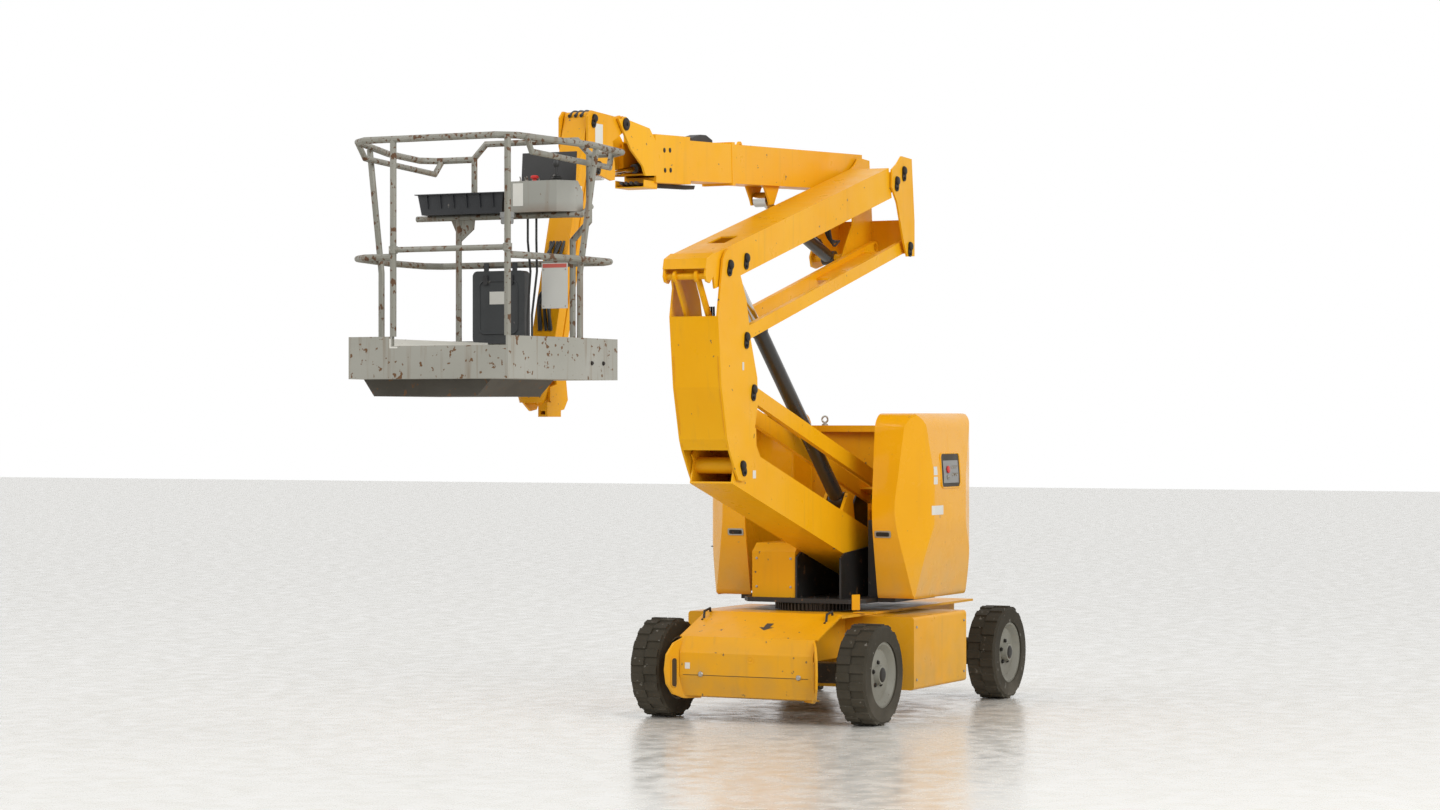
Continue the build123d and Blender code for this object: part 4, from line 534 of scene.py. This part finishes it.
# ------------ ground controls
# A shallow recess in the left cover with a grey switch panel: a red stop button, six toggles and a key
# switch. A moulded lip runs round it. The labels beside it are blank.
rightward = Vector((0, -1, 0))
panel_grey = worn(
    "panel grey", (0.25, 0.25, 0.245), 0.5, fade=(0.33, 0.32, 0.3),
    spots=(0.12, 0.11, 0.1), spot_share=0.2)
stop_red = worn(
    "stop red", (0.55, 0.012, 0.01), 0.35, fade=(0.62, 0.05, 0.03),
    spots=(0.3, 0.01, 0.01), spot_share=0.2)
middle = Vector((axis_x - 0.345, 1.0, 1.447))
width, height = 0.285, 0.195
# The recess is lined with a black sheet round the grey panel: painted shade in the recess.
recess = film("cover_left", middle, rightward, width, height)
piece("control_recess_shade", [recess], black_print_and_shade, "cover_left", smooth=False)
panel = film("cover_left", middle - Vector((0, 0, 0.008)), rightward, width - 0.05, height - 0.06, 0.003)
piece("control_panel", [panel], panel_grey, "cover_left", smooth=False)


def on_panel(across, up):
    """A place on the left cover, and its surface's direction, from the middle of the controls."""
    return laid_on("cover_left", middle + Vector((across, 0, up)), rightward)


lip = []
for across, up in card(width + 0.012, height + 0.012, 0.03, 6):
    place, out = on_panel(across, up)
    lip.append(place + out * 0.002)
piece("control_lip", [hose(lip + [lip[0]], 0.005, 10, 1)], moulded_yellow, "cover_left")

place, out = on_panel(0.055, 0.005)
ground_stop = [(0.012, 0.001), (0.012, 0.004), (0.021, 0.006),
               (0.022, 0.012), (0.016, 0.0145), (0.002, 0.0148)]
piece("ground_stop_button", [turned(ground_stop, place, out, 28)], stop_red, "cover_left")

toggle_nut = [(0.009, 0.003), (0.009, 0.006), (0.006, 0.008)]
key_switch = [(0.012, 0.003), (0.012, 0.008), (0.009, 0.01),
              (0.004, 0.01), (0.004, 0.0145), (0.001, 0.0145)]
shapes = []
for up in (0.018, -0.026):
    for across in (-0.085, -0.052, -0.019):
        place, out = on_panel(across, up)
        lever = [place + out * 0.004, place + out * 0.009 + Vector((0, 0, 0.004)),
                 place + out * 0.012 + Vector((0, 0, 0.01))]
        shapes += [turned(toggle_nut, place, out, 6), hose(lever, 0.0028, 8, 3)]
place, out = on_panel(0.055, -0.042)
shapes.append(turned(key_switch, place, out, 20))
piece("ground_switches", shapes, zinc, "cover_left")

label_places = ((0.235, 0.000, 0.055, 0.05), (0.235, -0.058, 0.055, 0.045), (0.2, -0.235, 0.16, 0.055))
for number, (across, up, wide, tall) in enumerate(label_places, start=1):
    centre = middle + Vector((across, 0, up))
    blank_label(f"cover_blank_label_{number}", "cover_left", "cover_left", centre, rightward, wide, tall)

# ------------ inner housings
# A folded steel housing inside the turret, in machine yellow, with small bolts down its front seams, and
# the black plastic case of the battery.
case_black = worn(
    "battery case", (0.025, 0.025, 0.026), 0.6, fade=(0.05, 0.05, 0.05),
    spots=(0.12, 0.11, 0.09), spot_share=0.15)
dress(machine_yellow, "inner_box")
dress(case_black, "battery_block")
low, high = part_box("inner_box")
seam_inset = 0.03
shapes = []
for y in (low.y + seam_inset, high.y - seam_inset):
    for z in (0.75, 0.92):
        shapes += bolt(*laid_on("inner_box", (high.x + 0.3, y, z), rearward), 0.006)
piece("housing_bolts", shapes, zinc, "turret")

# ------------ arms, mast and links
# Welded steel boxes and plates of the two stacked arms, the mast between them and their level links, in
# faded and finely chipped yellow. Dark forged keepers with a bolt lock their pins on the left, flat caps
# close the mast's pins on the right, and a thin nut holds the timing link's foot.


def keeper(place, down, size=1.0):
    """A pin's left end: a domed cap on an oblong keeper plate with one bolt below it."""
    place, down = Vector(place), Vector(down).normalized()
    up = -down
    outline = [(u, v - 0.018 * size) for u, v in card(0.052 * size, 0.094 * size, 0.0255 * size, 6)]
    plate = pressed(outline, place, up.cross(leftward), up, 0.007)
    dome = [(0.026 * size, 0.006), (0.026 * size, 0.012), (0.021 * size, 0.016), (0.006 * size, 0.017)]
    cap = turned(dome, place, leftward, 28)
    return [plate, cap] + bolt(place + leftward * 0.007 + down * (0.046 * size), leftward, 0.008 * size)


def left_face(node, spot, gap=0.0):
    """A place just off a CAD node's left side, beside a point."""
    place, _ = laid_on(node, (spot.x, 1.0, spot.z), rightward)
    return place + leftward * gap


arm_yellow = worn(
    "arm yellow", (0.82, 0.385, 0.004), 0.34, fade=(0.88, 0.47, 0.012), fade_share=0.55,
    spots=(0.18, 0.11, 0.05), spot_share=0.09, spot_scale=30.0,
    streaks=(0.58, 0.29, 0.03), streak_share=0.28,
    grain=0.08, grain_scale=40.0, coat=0.06, gloss=0.12)
dress(arm_yellow, "lower_arm", "lower_link", "mast", "upper_arm", "upper_link", "sync_link")

mast_low, mast_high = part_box("mast")
knee = pin["mast_turn"]
knee_link = knee + Vector((-0.144, 0, 0.424))
mast_pins = ((knee, (-0.5, 0, -0.86)), (knee_link, (0.2, 0, -1)),
             (pin["upper_link_turn"], (0.1, 0, -1)), (pin["upper_arm_turn"], (0.3, 0, -1)))
flat_cap = [(0.024, 0), (0.024, 0.002), (0.019, 0.003), (0.002, 0.003)]
shapes = []
for spot, down in mast_pins:
    shapes += keeper((spot.x, mast_high.y + 0.0006, spot.z), down)
    shapes.append(turned(flat_cap, (spot.x, mast_low.y, spot.z), rightward, 28))
piece("mast_pin_keepers", shapes, greasy, "mast")

lift_pin = Vector((axis_x + 1.4667, 0, 2.655))
lift_keeper = keeper(left_face("upper_arm", lift_pin), (0.15, 0, -1))
piece("lift_pin_keeper", lift_keeper, greasy, "upper_arm")

thin_nut = [(0.021, 0), (0.021, 0.002), (0.015, 0.003), (0.003, 0.003)]
timing_foot = knee + Vector((-0.17, 0, 0.168))
nut = turned(thin_nut, left_face("lower_arm", timing_foot), leftward, 6)
piece("sync_pin_nut", [nut], greasy, "lower_arm")

centre = (knee.x - 0.01, 1.0, 2.05)
blank_label("mast_blank_label", "mast", "mast", centre, rightward, 0.022, 0.045)
centre = (knee.x - 0.19, 1.0, 1.445)
blank_label("lower_arm_blank_label", "lower_arm", "lower_arm", centre, rightward, 0.04, 0.045)

# ------------ mast hoses
# Four rubber hoses side by side inside the mast, on their way from the lower arm to the upper one. They
# run nearly straight and lean a little forward.
path = [(knee.x + 0.03, 1.75), (knee.x + 0.06, 2.0), (knee.x + 0.09, 2.25), (knee.x + 0.1, 2.38)]
hose_row("mast_hoses", "mast", 0.006, [(0.09 + 0.014 * lane, path) for lane in range(4)])

# ------------ mast welds
# Two fillet welds along the edges of the mast's front plate, where it meets the side plates. They are
# painted over.
weld_yellow = worn(
    "weld yellow", (0.74, 0.33, 0.012), 0.5, fade=(0.62, 0.28, 0.012), fade_share=0.6,
    spots=(0.16, 0.09, 0.03), spot_share=0.25, grain=0.9, grain_scale=160.0, gloss=0.18)
side_plate = 0.0135
beads = []
for y in (mast_low.y + side_plate, mast_high.y - side_plate):
    seam = []
    for z in (1.6, 1.7, 1.8, 1.9, 2.00, 2.1):
        place, _ = laid_on("mast", (knee.x + 1.0, 0.11, z), rearward)
        if place.x < knee.x + 0.5:
            seam.append((place.x + 0.0005, y, place.z))
    beads.append(hose(seam, 0.0022, 8, 3))
piece("mast_weld_beads", beads, weld_yellow, "mast")

# ------------ lift, boom and levelling cylinders
# Welded steel barrels in black paint with hard-chromed rods. The lift and boom barrels have a gland ring at
# the mouth and a steel pipe with two unions along the back.
chrome = worn(
    "chromed rod", (0.6, 0.59, 0.57), 0.14, fade=(0.52, 0.5, 0.47), metal=1.0,
    spots=(0.3, 0.22, 0.14), spot_share=0.12, grain=0.02)
cylinder_black = worn(
    "cylinder black", (0.018, 0.018, 0.018), 0.32, fade=(0.04, 0.038, 0.035),
    spots=(0.1, 0.07, 0.04), spot_share=0.15, coat=0.2)
dress(chrome, "lift_cylinder_rod", "boom_cylinder_rod", "level_cylinder_rod")
dress(cylinder_black, "lift_cylinder_barrel", "boom_cylinder_barrel", "level_cylinder_barrel")
slides = {joint["name"]: Vector(joint["axis"]) for joint in joints if "axis" in joint}
pipe_union = [(0.01, 0), (0.01, 0.016), (0.007, 0.018)]
for name, reach, radius in (("lift", 1.535, 0.045), ("boom", 0.765, 0.04)):
    foot = pin[f"{name}_barrel_turn"]
    along = slides[f"{name}_rod_slide"].normalized()
    back = leftward.cross(along)
    back = back if back.x < 0 else -back
    gland = [(radius + 0.001, -0.035), (radius + 0.006, -0.032),
             (radius + 0.006, -0.004), (radius + 0.001, 0)]
    ring = turned(gland, foot + along * reach, along, 32)
    piece(f"{name}_cylinder_gland", [ring], cylinder_black, f"{name}_barrel")
    stations = ((0.13, 0.004), (0.16, 0.013), (reach * 0.5, 0.013),
                (reach - 0.1, 0.013), (reach - 0.06, 0.004))
    line = [foot + along * distance + back * (radius + height) for distance, height in stations]
    shapes = [hose(line, 0.006, 10, 6)]
    shapes += [turned(pipe_union, spot, along, 6) for spot in (line[1], line[3])]
    piece(f"{name}_cylinder_pipe", shapes, greasy, f"{name}_barrel")

# ------------ boom carrier
# Two profiled steel plates welded to a back plate, which carry the boom's pivot and its lift cylinder.
# Three hoses bend round beside the foot of that cylinder.
dress(arm_yellow, "carrier")
head = pin["carrier_turn"]
head_link = head + Vector((-0.208, 0, -0.394))
shapes = []
for spot, down in ((head, (0.1, 0, -1)), (head_link, (0.1, 0, -1)), (pin["boom_lift"], (0, 0, -1))):
    shapes += keeper(left_face("carrier", spot, 0.0006), down)
piece("carrier_pin_keepers", shapes, greasy, "carrier")
start = pin["boom_barrel_turn"] + Vector((0.06, 0, 0.1))
lanes = []
for lane in range(3):
    lanes.append((-0.088 + 0.016 * lane, [(start.x, start.z), (start.x + 0.09, start.z + 0.01 - 0.02 * lane),
                                          (start.x + 0.15, start.z + 0.09), (start.x + 0.1, start.z + 0.2)]))
hose_row("carrier_hoses", "carrier", 0.007, lanes)

# ------------ boom and fly
# The outer boom is a folded steel box with wear-pad bolts at its mouth and a length sensor with a rain hood
# on top. A dark track under it guides the hoses to the fly, the sliding inner box.
dress(arm_yellow, "boom_outer", "boom_fly")
pad_bolt = [(0.0135, 0), (0.0135, 0.002), (0.01, 0.0038), (0.002, 0.0042)]
pad_bolt_places = ((1.897, 3.236), (1.83, 3.241), (1.889, 3.126), (1.822, 3.131))
shapes = []
for from_axis, z in pad_bolt_places:
    for y, toward in ((0.3, rightward), (-0.7, leftward)):
        shapes.append(turned(pad_bolt, *laid_on("boom_outer", (axis_x + from_axis, y, z), toward), 20))
piece("wear_pad_bolts", shapes, greasy, "boom")

place, out = laid_on("boom_outer", (axis_x + 1.3, -0.15, 4.0), downward)
hood_outline = [(-0.13, 0), (0.13, 0), (0.13, 0.022), (0.09, 0.034),
                (0.02, 0.046), (-0.05, 0.046), (-0.13, 0.02)]
hood = pressed(hood_outline, place + Vector((0, 0.035, 0)), leftward.cross(out), out, 0.07)
sensor_profile = [(0.011, 0), (0.011, 0.05), (0.008, 0.06), (0.002, 0.062)]
sensor = turned(sensor_profile, place + out * 0.03 + Vector((-0.15, 0, -0.012)), (0.9, 0, 0.2), 16)
piece("length_sensor", [hood, sensor], case_black, "boom", edge=0.002)

place, _ = laid_on("boom_outer", (axis_x + 1.62, -0.09, 2.0), upward)
away = slides["boom_telescope"].normalized()
track_outline = [(-0.24, 0.0), (0.24, 0.0), (0.225, 0.022), (-0.225, 0.022)]
track = pressed(track_outline, place + Vector((0, -0.03, 0)), away * -1, leftward.cross(away), 0.06)
piece("hose_track", [track], case_black, "boom", edge=0.003)

# ------------ hose tray
# A folded steel tray beneath the fly's head, a floor with two upright sides in the boom's yellow. Four
# rubber hoses lie in it.
tray_back, tray_front = 0.63, 0.785
tray_plates = ((3.018, 3.024, -0.245, -0.065), (3.024, 3.06, -0.071, -0.065),
               (3.024, 3.06, -0.245, -0.239))
shapes = []
for foot_z, top_z, right_y, left_y in tray_plates:
    outline = [(tray_back, foot_z), (tray_front, foot_z), (tray_front, top_z), (tray_back, top_z)]
    shapes.append(pressed(outline, (0, left_y, 0), (1, 0, 0), upward, left_y - right_y))
piece("head_tray", shapes, arm_yellow, "fly", edge=0.0015)
path = [(tray_back + 0.01, 3.036), (0.69, 3.04), (0.75, 3.037), (0.8, 3.044)]
hose_row("tray_hoses", "fly", 0.009, [(-0.2 + 0.03 * lane, path) for lane in range(4)])

# ------------ level bracket
# A welded steel bracket in yellow that stays upright at the boom's end. Keepers lock the jib's two pins, a
# stepped cap covers the pin through the fly, and three hoses come over the top.
jib_yellow = worn(
    "jib yellow", (0.74, 0.315, 0.003), 0.36, fade=(0.87, 0.45, 0.012), fade_share=0.5,
    spots=(0.2, 0.11, 0.05), spot_share=0.16, spot_scale=28.0,
    streaks=(0.5, 0.24, 0.03), streak_share=0.35,
    grain=0.1, grain_scale=45.0, coat=0.06, gloss=0.12)
dress(jib_yellow, "level_bracket", "jib_beam", "jib_link", "basket_support")
shapes = []
for name in ("jib_lift", "jib_link_turn"):
    shapes += keeper(left_face("level_bracket", pin[name], 0.0004), (0.3, 0, -1), 0.8)
piece("bracket_pin_keepers", shapes, greasy, "level_bracket")

cap_steps = [(0.034, 0), (0.034, 0.008), (0.026, 0.013), (0.01, 0.013), (0.01, 0.018), (0.002, 0.018)]
level_cap = turned(cap_steps, left_face("boom_fly", pin["level_turn"]), leftward, 28)
piece("level_pin_cap", [level_cap], greasy, "fly")

top = pin["jib_lift"]
centre = (top.x - 0.055, 0.5, 3.245)
blank_label("bracket_blank_label", "level_bracket", "level_bracket", centre, rightward, 0.085, 0.15)
path = [(top.x - 0.15, top.z - 0.03), (top.x - 0.1, top.z + 0.026), (top.x - 0.02, top.z + 0.04),
        (top.x + 0.045, top.z + 0.012)]
hose_row("bracket_hoses", "level_bracket", 0.009, [(-0.185 + 0.035 * lane, path) for lane in range(3)])

# ------------ jib
# A welded tube that hangs from the bracket. Five hoses leave it part of the way down, cross one another in a
# loose bundle and go back in near its foot.
foot = pin["basket_level"]
run = (foot - top).normalized()
ahead = leftward.cross(run)
ahead = ahead if ahead.x > 0 else -ahead
lanes = ((-0.19, 0.06, -0.12), (-0.17, 0.085, -0.18), (-0.15, 0.055, -0.15),
         (-0.13, 0.08, -0.19), (-0.11, 0.068, -0.13))
hoses = []
for lane, (first_y, bulge, last_y) in enumerate(lanes):
    stations = ((0.7, 0.034, first_y),
                (0.8 + 0.02 * lane, bulge, (2 * first_y + last_y) / 3),
                (0.95, 0.052 + 0.009 * (lane % 3), (first_y + last_y) / 2 + 0.012 * (lane % 2)),
                (1.08 - 0.02 * lane, 0.11 - bulge / 2, last_y),
                (1.19, 0.034, last_y + 0.01))
    path = [top + run * down + ahead * off + Vector((0, y - top.y, 0)) for down, off, y in stations]
    hoses.append(hose(path, 0.0085))
piece("jib_hoses", hoses, black_hose, "jib")

label_down = 0.42
centre = (top.x + run.x * label_down, 0.5, top.z + run.z * label_down)
blank_label("jib_blank_label", "jib_beam", "jib", centre, rightward, 0.045, 0.075)
support_keeper = keeper(left_face("basket_support", foot, 0.0004), (0, 0, -1), 0.7)
piece("support_pin_keeper", support_keeper, greasy, "basket_support")

# ------------ basket
# A welded basket of galvanised steel: a folded floor with toe boards, round rails and posts. Years of loading
# have scratched the boards, and rust bleeds down them. Rows of raised bars make the floor's tread.
galvanised = worn(
    "galvanised rail", (0.235, 0.23, 0.195), 0.52, fade=(0.33, 0.32, 0.28), fade_share=0.7,
    metal=0.2, spots=(0.115, 0.058, 0.028), spot_share=0.62, spot_scale=34.0,
    streaks=(0.15, 0.08, 0.04), streak_share=0.95, grain=0.4, grain_scale=70.0, gloss=0.35)
toe_board = worn(
    "toe board", (0.3, 0.295, 0.255), 0.55, fade=(0.4, 0.39, 0.35), fade_share=0.6,
    metal=0.15, spots=(0.14, 0.07, 0.03), spot_share=0.46, spot_scale=30.0,
    streaks=(0.19, 0.125, 0.07), streak_share=0.7, grain=0.35, grain_scale=50.0, gloss=0.35)
# The pan under the basket floor is near-black: painted shade, with rust spots on it.
under_shade_and_rust = worn(
    "floor pan shade and rust", (0.07, 0.062, 0.05), 0.7, fade=(0.13, 0.12, 0.1),
    spots=(0.16, 0.08, 0.035), spot_share=0.35)
dress(toe_board, "basket_floor")
dress(galvanised, "basket_rails", "gate_bar")
dress(under_shade_and_rust, "floor_pan")
floor_low, floor_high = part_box("basket_floor")
floor_middle_y = (floor_low.y + floor_high.y) / 2
board_front = (floor_high.x + 0.3, -0.333, 2.125)
blank_label("toe_board_blank_label", "basket_floor", "basket", board_front, rearward, 0.046, 0.046)

bar_outline = [(-0.022, 0), (0, -0.004), (0.022, 0), (0, 0.004)]
row_gap, column_gap = 0.085, 0.08
tread = []
for row in range(9):
    for column in range(10):
        x = floor_low.x + 0.12 + row_gap * row
        y = floor_middle_y - 0.36 + column_gap * column
        lean = 0.6 if (row + column) % 2 else -0.6
        along = Vector((math.cos(lean), math.sin(lean), 0))
        place, out = laid_on("basket_floor", (x, y, 2.4), downward)
        if out.z > 0.9 and place.z < 2.03:
            tread.append(pressed(bar_outline, place, along, (-along.y, along.x, 0), 0.0018))
piece("floor_tread", tread, toe_board, "basket", smooth=False)

# ------------ gate latch and toe-board bolts
# A zinc-plated hexagon bolt with a plain end latches the gate bar. Two dark, greasy hexagon bolts go
# through the toe board on either side.
latch_bolt = [(0.014, 0), (0.014, 0.01), (0.009, 0.013), (0.009, 0.024), (0.002, 0.026)]
gate_low, gate_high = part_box("gate_bar")
place = (gate_high.x - 0.0265, gate_low.y + 0.016, (gate_low.z + gate_high.z) / 2)
piece("gate_latch_bolt", [turned(latch_bolt, place, (1, 0, 0), 6)], zinc, "gate_bar")
shapes = []
for y, toward in ((floor_high.y + 0.3, rightward), (floor_low.y - 0.3, leftward)):
    for x in (floor_low.x + 0.3, floor_low.x + 0.42):
        shapes += bolt(*laid_on("basket_floor", (x, y, 2.035), toward), 0.009)
piece("toe_board_bolts", shapes, greasy, "basket")

# ------------ tool tray
# A moulded black tray with a flat lip, held by two screws, with six ribs that stiffen the lip in front. Its
# floor is dusty and its rim scratched.
tray_black = worn(
    "tray plastic", (0.02, 0.022, 0.026), 0.48, fade=(0.045, 0.047, 0.052), fade_share=0.7,
    spots=(0.15, 0.14, 0.13), spot_share=0.12, grain=0.5, grain_scale=240.0)
dress(tray_black, "tool_tray")
low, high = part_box("tool_tray")
middle_x, middle_y = (low.x + high.x) / 2, (low.y + high.y) / 2
shapes = []
for y in (middle_y - 0.17, middle_y + 0.17):
    shapes += bolt(*laid_on("tool_tray", (middle_x, y, high.z + 0.1), downward), 0.008)
piece("tray_screws", shapes, zinc, "basket")

rib_thickness = 0.003
rib_inset = 0.07
rib_foot, rib_slope_top, rib_top = high.z - 0.075, high.z - 0.008, high.z - 0.005
ribs = []
for step in range(6):
    y = low.y + rib_inset + step * (high.y - low.y - 2 * rib_inset) / 5
    place, _ = laid_on("tool_tray", (high.x + 0.2, y, high.z - 0.045), rearward)
    back_x, foot_x, front_x = place.x - 0.004, place.x + 0.002, high.x - 0.004
    outline = [(back_x, rib_foot), (foot_x, rib_foot), (front_x, rib_slope_top),
               (front_x, rib_top), (back_x, rib_top)]
    ribs.append(pressed(outline, (0, y + rib_thickness / 2, 0), (1, 0, 0), upward, rib_thickness))
piece("tray_ribs", ribs, tray_black, "basket", smooth=False)

# ------------ basket controls
# A grey steel control box, rusty along its lower edge, with a joystick, toggles and a stop button on top and
# cable glands below. Its black lid stands open behind it on a stay.
box_grey = worn(
    "control box", (0.3, 0.3, 0.265), 0.5, fade=(0.38, 0.375, 0.34), fade_share=0.6,
    spots=(0.15, 0.075, 0.03), spot_share=0.22, spot_scale=30.0,
    streaks=(0.2, 0.12, 0.06), streak_share=0.4,
    dust=(0.17, 0.085, 0.04), dust_low=2.79, dust_high=2.85)
lid_black = worn(
    "lid plastic", (0.012, 0.012, 0.012), 0.42, fade=(0.035, 0.033, 0.03), fade_share=0.6,
    spots=(0.11, 0.1, 0.09), spot_share=0.16)
dress(box_grey, "control_box")
dress(lid_black, "control_lid")
dress(black_hose, "control_cable_left", "control_cable_right")
low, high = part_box("control_box")
middle_x, middle_y = (low.x + high.x) / 2, (low.y + high.y) / 2


def on_box(across, along):
    """A place on the control box's top, and its direction there, from the box's middle."""
    return laid_on("control_box", (middle_x + across, middle_y + along, high.z + 0.1), downward)


place, out = on_box(0, 0.07)
gaiter = [(0.034, 0), (0.034, 0.006), (0.027, 0.01), (0.029, 0.015), (0.022, 0.02), (0.024, 0.025),
          (0.015, 0.031), (0.01, 0.034)]
grip = [(0.009, 0.07), (0.015, 0.078), (0.017, 0.092), (0.012, 0.104), (0.002, 0.106)]
piece("joystick", [turned(gaiter + grip, place, out, 28)], lid_black, "basket")

small_nut = [(0.008, 0), (0.008, 0.004), (0.006, 0.006)]
shapes = []
for across, along in ((-0.02, -0.12), (-0.02, -0.08), (-0.02, -0.04), (0.03, -0.12), (0.03, -0.08)):
    place, out = on_box(across, along)
    lever = [place + out * 0.004, place + out * 0.014, place + out * 0.026 + Vector((0.006, 0, 0))]
    shapes += [turned(small_nut, place, out, 6), hose(lever, 0.003, 8, 3)]
piece("basket_toggles", shapes, zinc, "basket")

place, out = on_box(0.035, -0.035)
basket_stop = [(0.011, 0), (0.011, 0.012), (0.02, 0.015), (0.021, 0.024), (0.016, 0.029), (0.002, 0.031)]
piece("basket_stop_button", [turned(basket_stop, place, out, 28)], stop_red, "basket")
box_front = (high.x + 0.2, low.y + 0.075, (low.z + high.z) / 2 + 0.01)
blank_label("control_box_blank_label", "control_box", "basket", box_front, rearward, 0.06, 0.115)

gland = [(0.013, -0.06), (0.016, -0.052), (0.016, -0.03), (0.02, -0.028), (0.02, 0.0)]
shapes = []
for name in ("control_cable_left", "control_cable_right"):
    low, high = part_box(name)
    place, _ = laid_on(name, (high.x + 0.2, (low.y + high.y) / 2, high.z - 0.01), rearward)
    shapes.append(turned(gland, (place.x - 0.006, place.y, high.z - 0.004), upward, 20))
piece("cable_glands", shapes, panel_grey, "basket")

low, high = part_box("control_lid")
stay_y = low.y + 0.1
stay = hose([(low.x + 0.012, stay_y, low.z + 0.1), (low.x + 0.03, stay_y, low.z + 0.05),
             (low.x + 0.055, stay_y, low.z + 0.012)], 0.003, 8, 4)
piece("lid_stay", [stay], zinc, "basket")

# ------------ document box
# A dark moulded box for papers, hung on the rails, with a raised ridge round its front, two lid catches and a
# blank label.
case_grey = worn(
    "document case", (0.03, 0.033, 0.035), 0.5, fade=(0.06, 0.064, 0.066), fade_share=0.7,
    spots=(0.16, 0.15, 0.14), spot_share=0.12, grain=0.4, grain_scale=200.0)
dress(case_grey, "document_box")
low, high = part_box("document_box")
front_x = high.x + 0.3
front_top = high.z - 0.045
middle_y, middle_z = (low.y + high.y) / 2, (low.z + front_top) / 2
ridge = []
for across, up in card(0.225, 0.27, 0.03, 5):
    place, _ = laid_on("document_box", (front_x, middle_y + across, middle_z + up), rearward)
    ridge.append(place + Vector((0.001, 0, 0)))
piece("document_box_ridge", [hose(ridge + [ridge[0]], 0.004, 8, 1)], case_grey, "basket")
shapes = []
for y in (middle_y - 0.075, middle_y + 0.075):
    place, _ = laid_on("document_box", (front_x, y, front_top - 0.045), rearward)
    shapes.append(pressed(card(0.026, 0.052, 0.005), place, leftward, upward, 0.009))
piece("document_box_catches", shapes, case_black, "basket", edge=0.0015)
centre = (front_x, middle_y, low.z + 0.235)
blank_label("document_box_blank_label", "document_box", "basket", centre, rearward, 0.105, 0.065)

# ------------ sign plate
# An enamelled steel sign, stained and faded, with a red band and no writing. Four small rivets hold it
# at its corners.
sign_enamel = worn(
    "sign enamel", (0.66, 0.66, 0.62), 0.35, fade=(0.52, 0.51, 0.47), fade_share=0.5,
    spots=(0.28, 0.24, 0.2), spot_share=0.2, spot_scale=30.0)
band_red = worn("faded red band", (0.6, 0.1, 0.075), 0.4, fade=(0.68, 0.24, 0.19), fade_share=0.7)
dress(sign_enamel, "sign_plate")
low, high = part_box("sign_plate")
edge = 0.012
band_outline = card(high.y - low.y - edge, 0.02, 0.002)
band = pressed(band_outline, (high.x, (low.y + high.y) / 2, high.z - 0.014), leftward, upward, 0.0006)
piece("sign_red_band", [band], band_red, "basket", smooth=False)
rivet = [(0.004, 0), (0.0035, 0.0018), (0.001, 0.0024)]
shapes = []
for y in (low.y + edge, high.y - edge):
    for z in (low.z + edge, high.z - 0.034):
        shapes.append(turned(rivet, (high.x, y, z), (1, 0, 0), 14))
piece("sign_rivets", shapes, zinc, "basket")

# ------------ viewpoint
# The lift is seen from its front left, from a standing height, about eighteen metres away through a
# long lens.
look_turn = 3.5998
look_rise = 0.0041
level = math.cos(look_rise)
look = Vector((math.cos(look_turn) * level, math.sin(look_turn) * level, math.sin(look_rise)))
lens = bpy.data.cameras.new("viewpoint")
lens.lens = 80.0
lens.sensor_width = 36.0
lens.clip_end = 200.0
viewpoint = bpy.data.objects.new("viewpoint", lens)
viewpoint.location = (axis_x + 17.556, 8.014, 1.761)
viewpoint.rotation_euler = look.to_track_quat("-Z", "Y").to_euler()
bpy.context.collection.objects.link(viewpoint)
bpy.context.scene.camera = viewpoint

# ------------ floor
# A pale, smooth workshop floor with a soft sheen. It is one flat sheet that reaches sixty metres to every
# side of the lift.
floor_grey = worn(
    "floor", (0.7, 0.685, 0.635), 0.22, fade=(0.78, 0.77, 0.74),
    spots=(0.6, 0.58, 0.53), spot_share=0.05, grain=0.02)
reach = 60.0
floor_corners = [(-reach, -reach, 0), (reach, -reach, 0), (reach, reach, 0), (-reach, reach, 0)]
floor_mesh = bpy.data.meshes.new("floor")
floor_mesh.from_pydata(floor_corners, [], [(0, 1, 2, 3)])
floor_mesh.materials.append(floor_grey)
floor = bpy.data.objects.new("floor", floor_mesh)
bpy.context.collection.objects.link(floor)

# ------------ light
# An even white world, plain white where it is seen straight or mirrored and a little dimmer as light, and
# two large soft lamps high in front of the lift, on its left and on its right.
world = bpy.data.worlds.new("studio")
bpy.context.scene.world = world
world.use_nodes = True
tree = world.node_tree
dimmer = tree.nodes["Background"]
dimmer.inputs["Color"].default_value = (1, 1, 1, 1)
dimmer.inputs["Strength"].default_value = 0.75
white = tree.nodes.new("ShaderNodeBackground")
white.inputs["Color"].default_value = (1, 1, 1, 1)
white.inputs["Strength"].default_value = 1.0
ray = tree.nodes.new("ShaderNodeLightPath")
seen = tree.nodes.new("ShaderNodeMath")
seen.operation = "MAXIMUM"
tree.links.new(ray.outputs["Is Camera Ray"], seen.inputs[0])
tree.links.new(ray.outputs["Is Glossy Ray"], seen.inputs[1])
mix = tree.nodes.new("ShaderNodeMixShader")
tree.links.new(seen.outputs[0], mix.inputs[0])
tree.links.new(dimmer.outputs[0], mix.inputs[1])
tree.links.new(white.outputs[0], mix.inputs[2])
tree.links.new(mix.outputs[0], tree.nodes["World Output"].inputs["Surface"])

aim = Vector((0, 0, 1.5))
lamp_size = 8.0
for name, place, power in (("lamp_left", (6.0, 12.0, 9.0), 1050.0), ("lamp_right", (9.0, -9.0, 10.0), 500.0)):
    lamp = bpy.data.lights.new(name, "AREA")
    lamp.energy = power
    lamp.size = lamp_size
    holder = bpy.data.objects.new(name, lamp)
    holder.location = place
    holder.rotation_euler = (aim - Vector(place)).to_track_quat("-Z", "Y").to_euler()
    bpy.context.collection.objects.link(holder)
bpy.context.scene.view_settings.view_transform = "Standard"
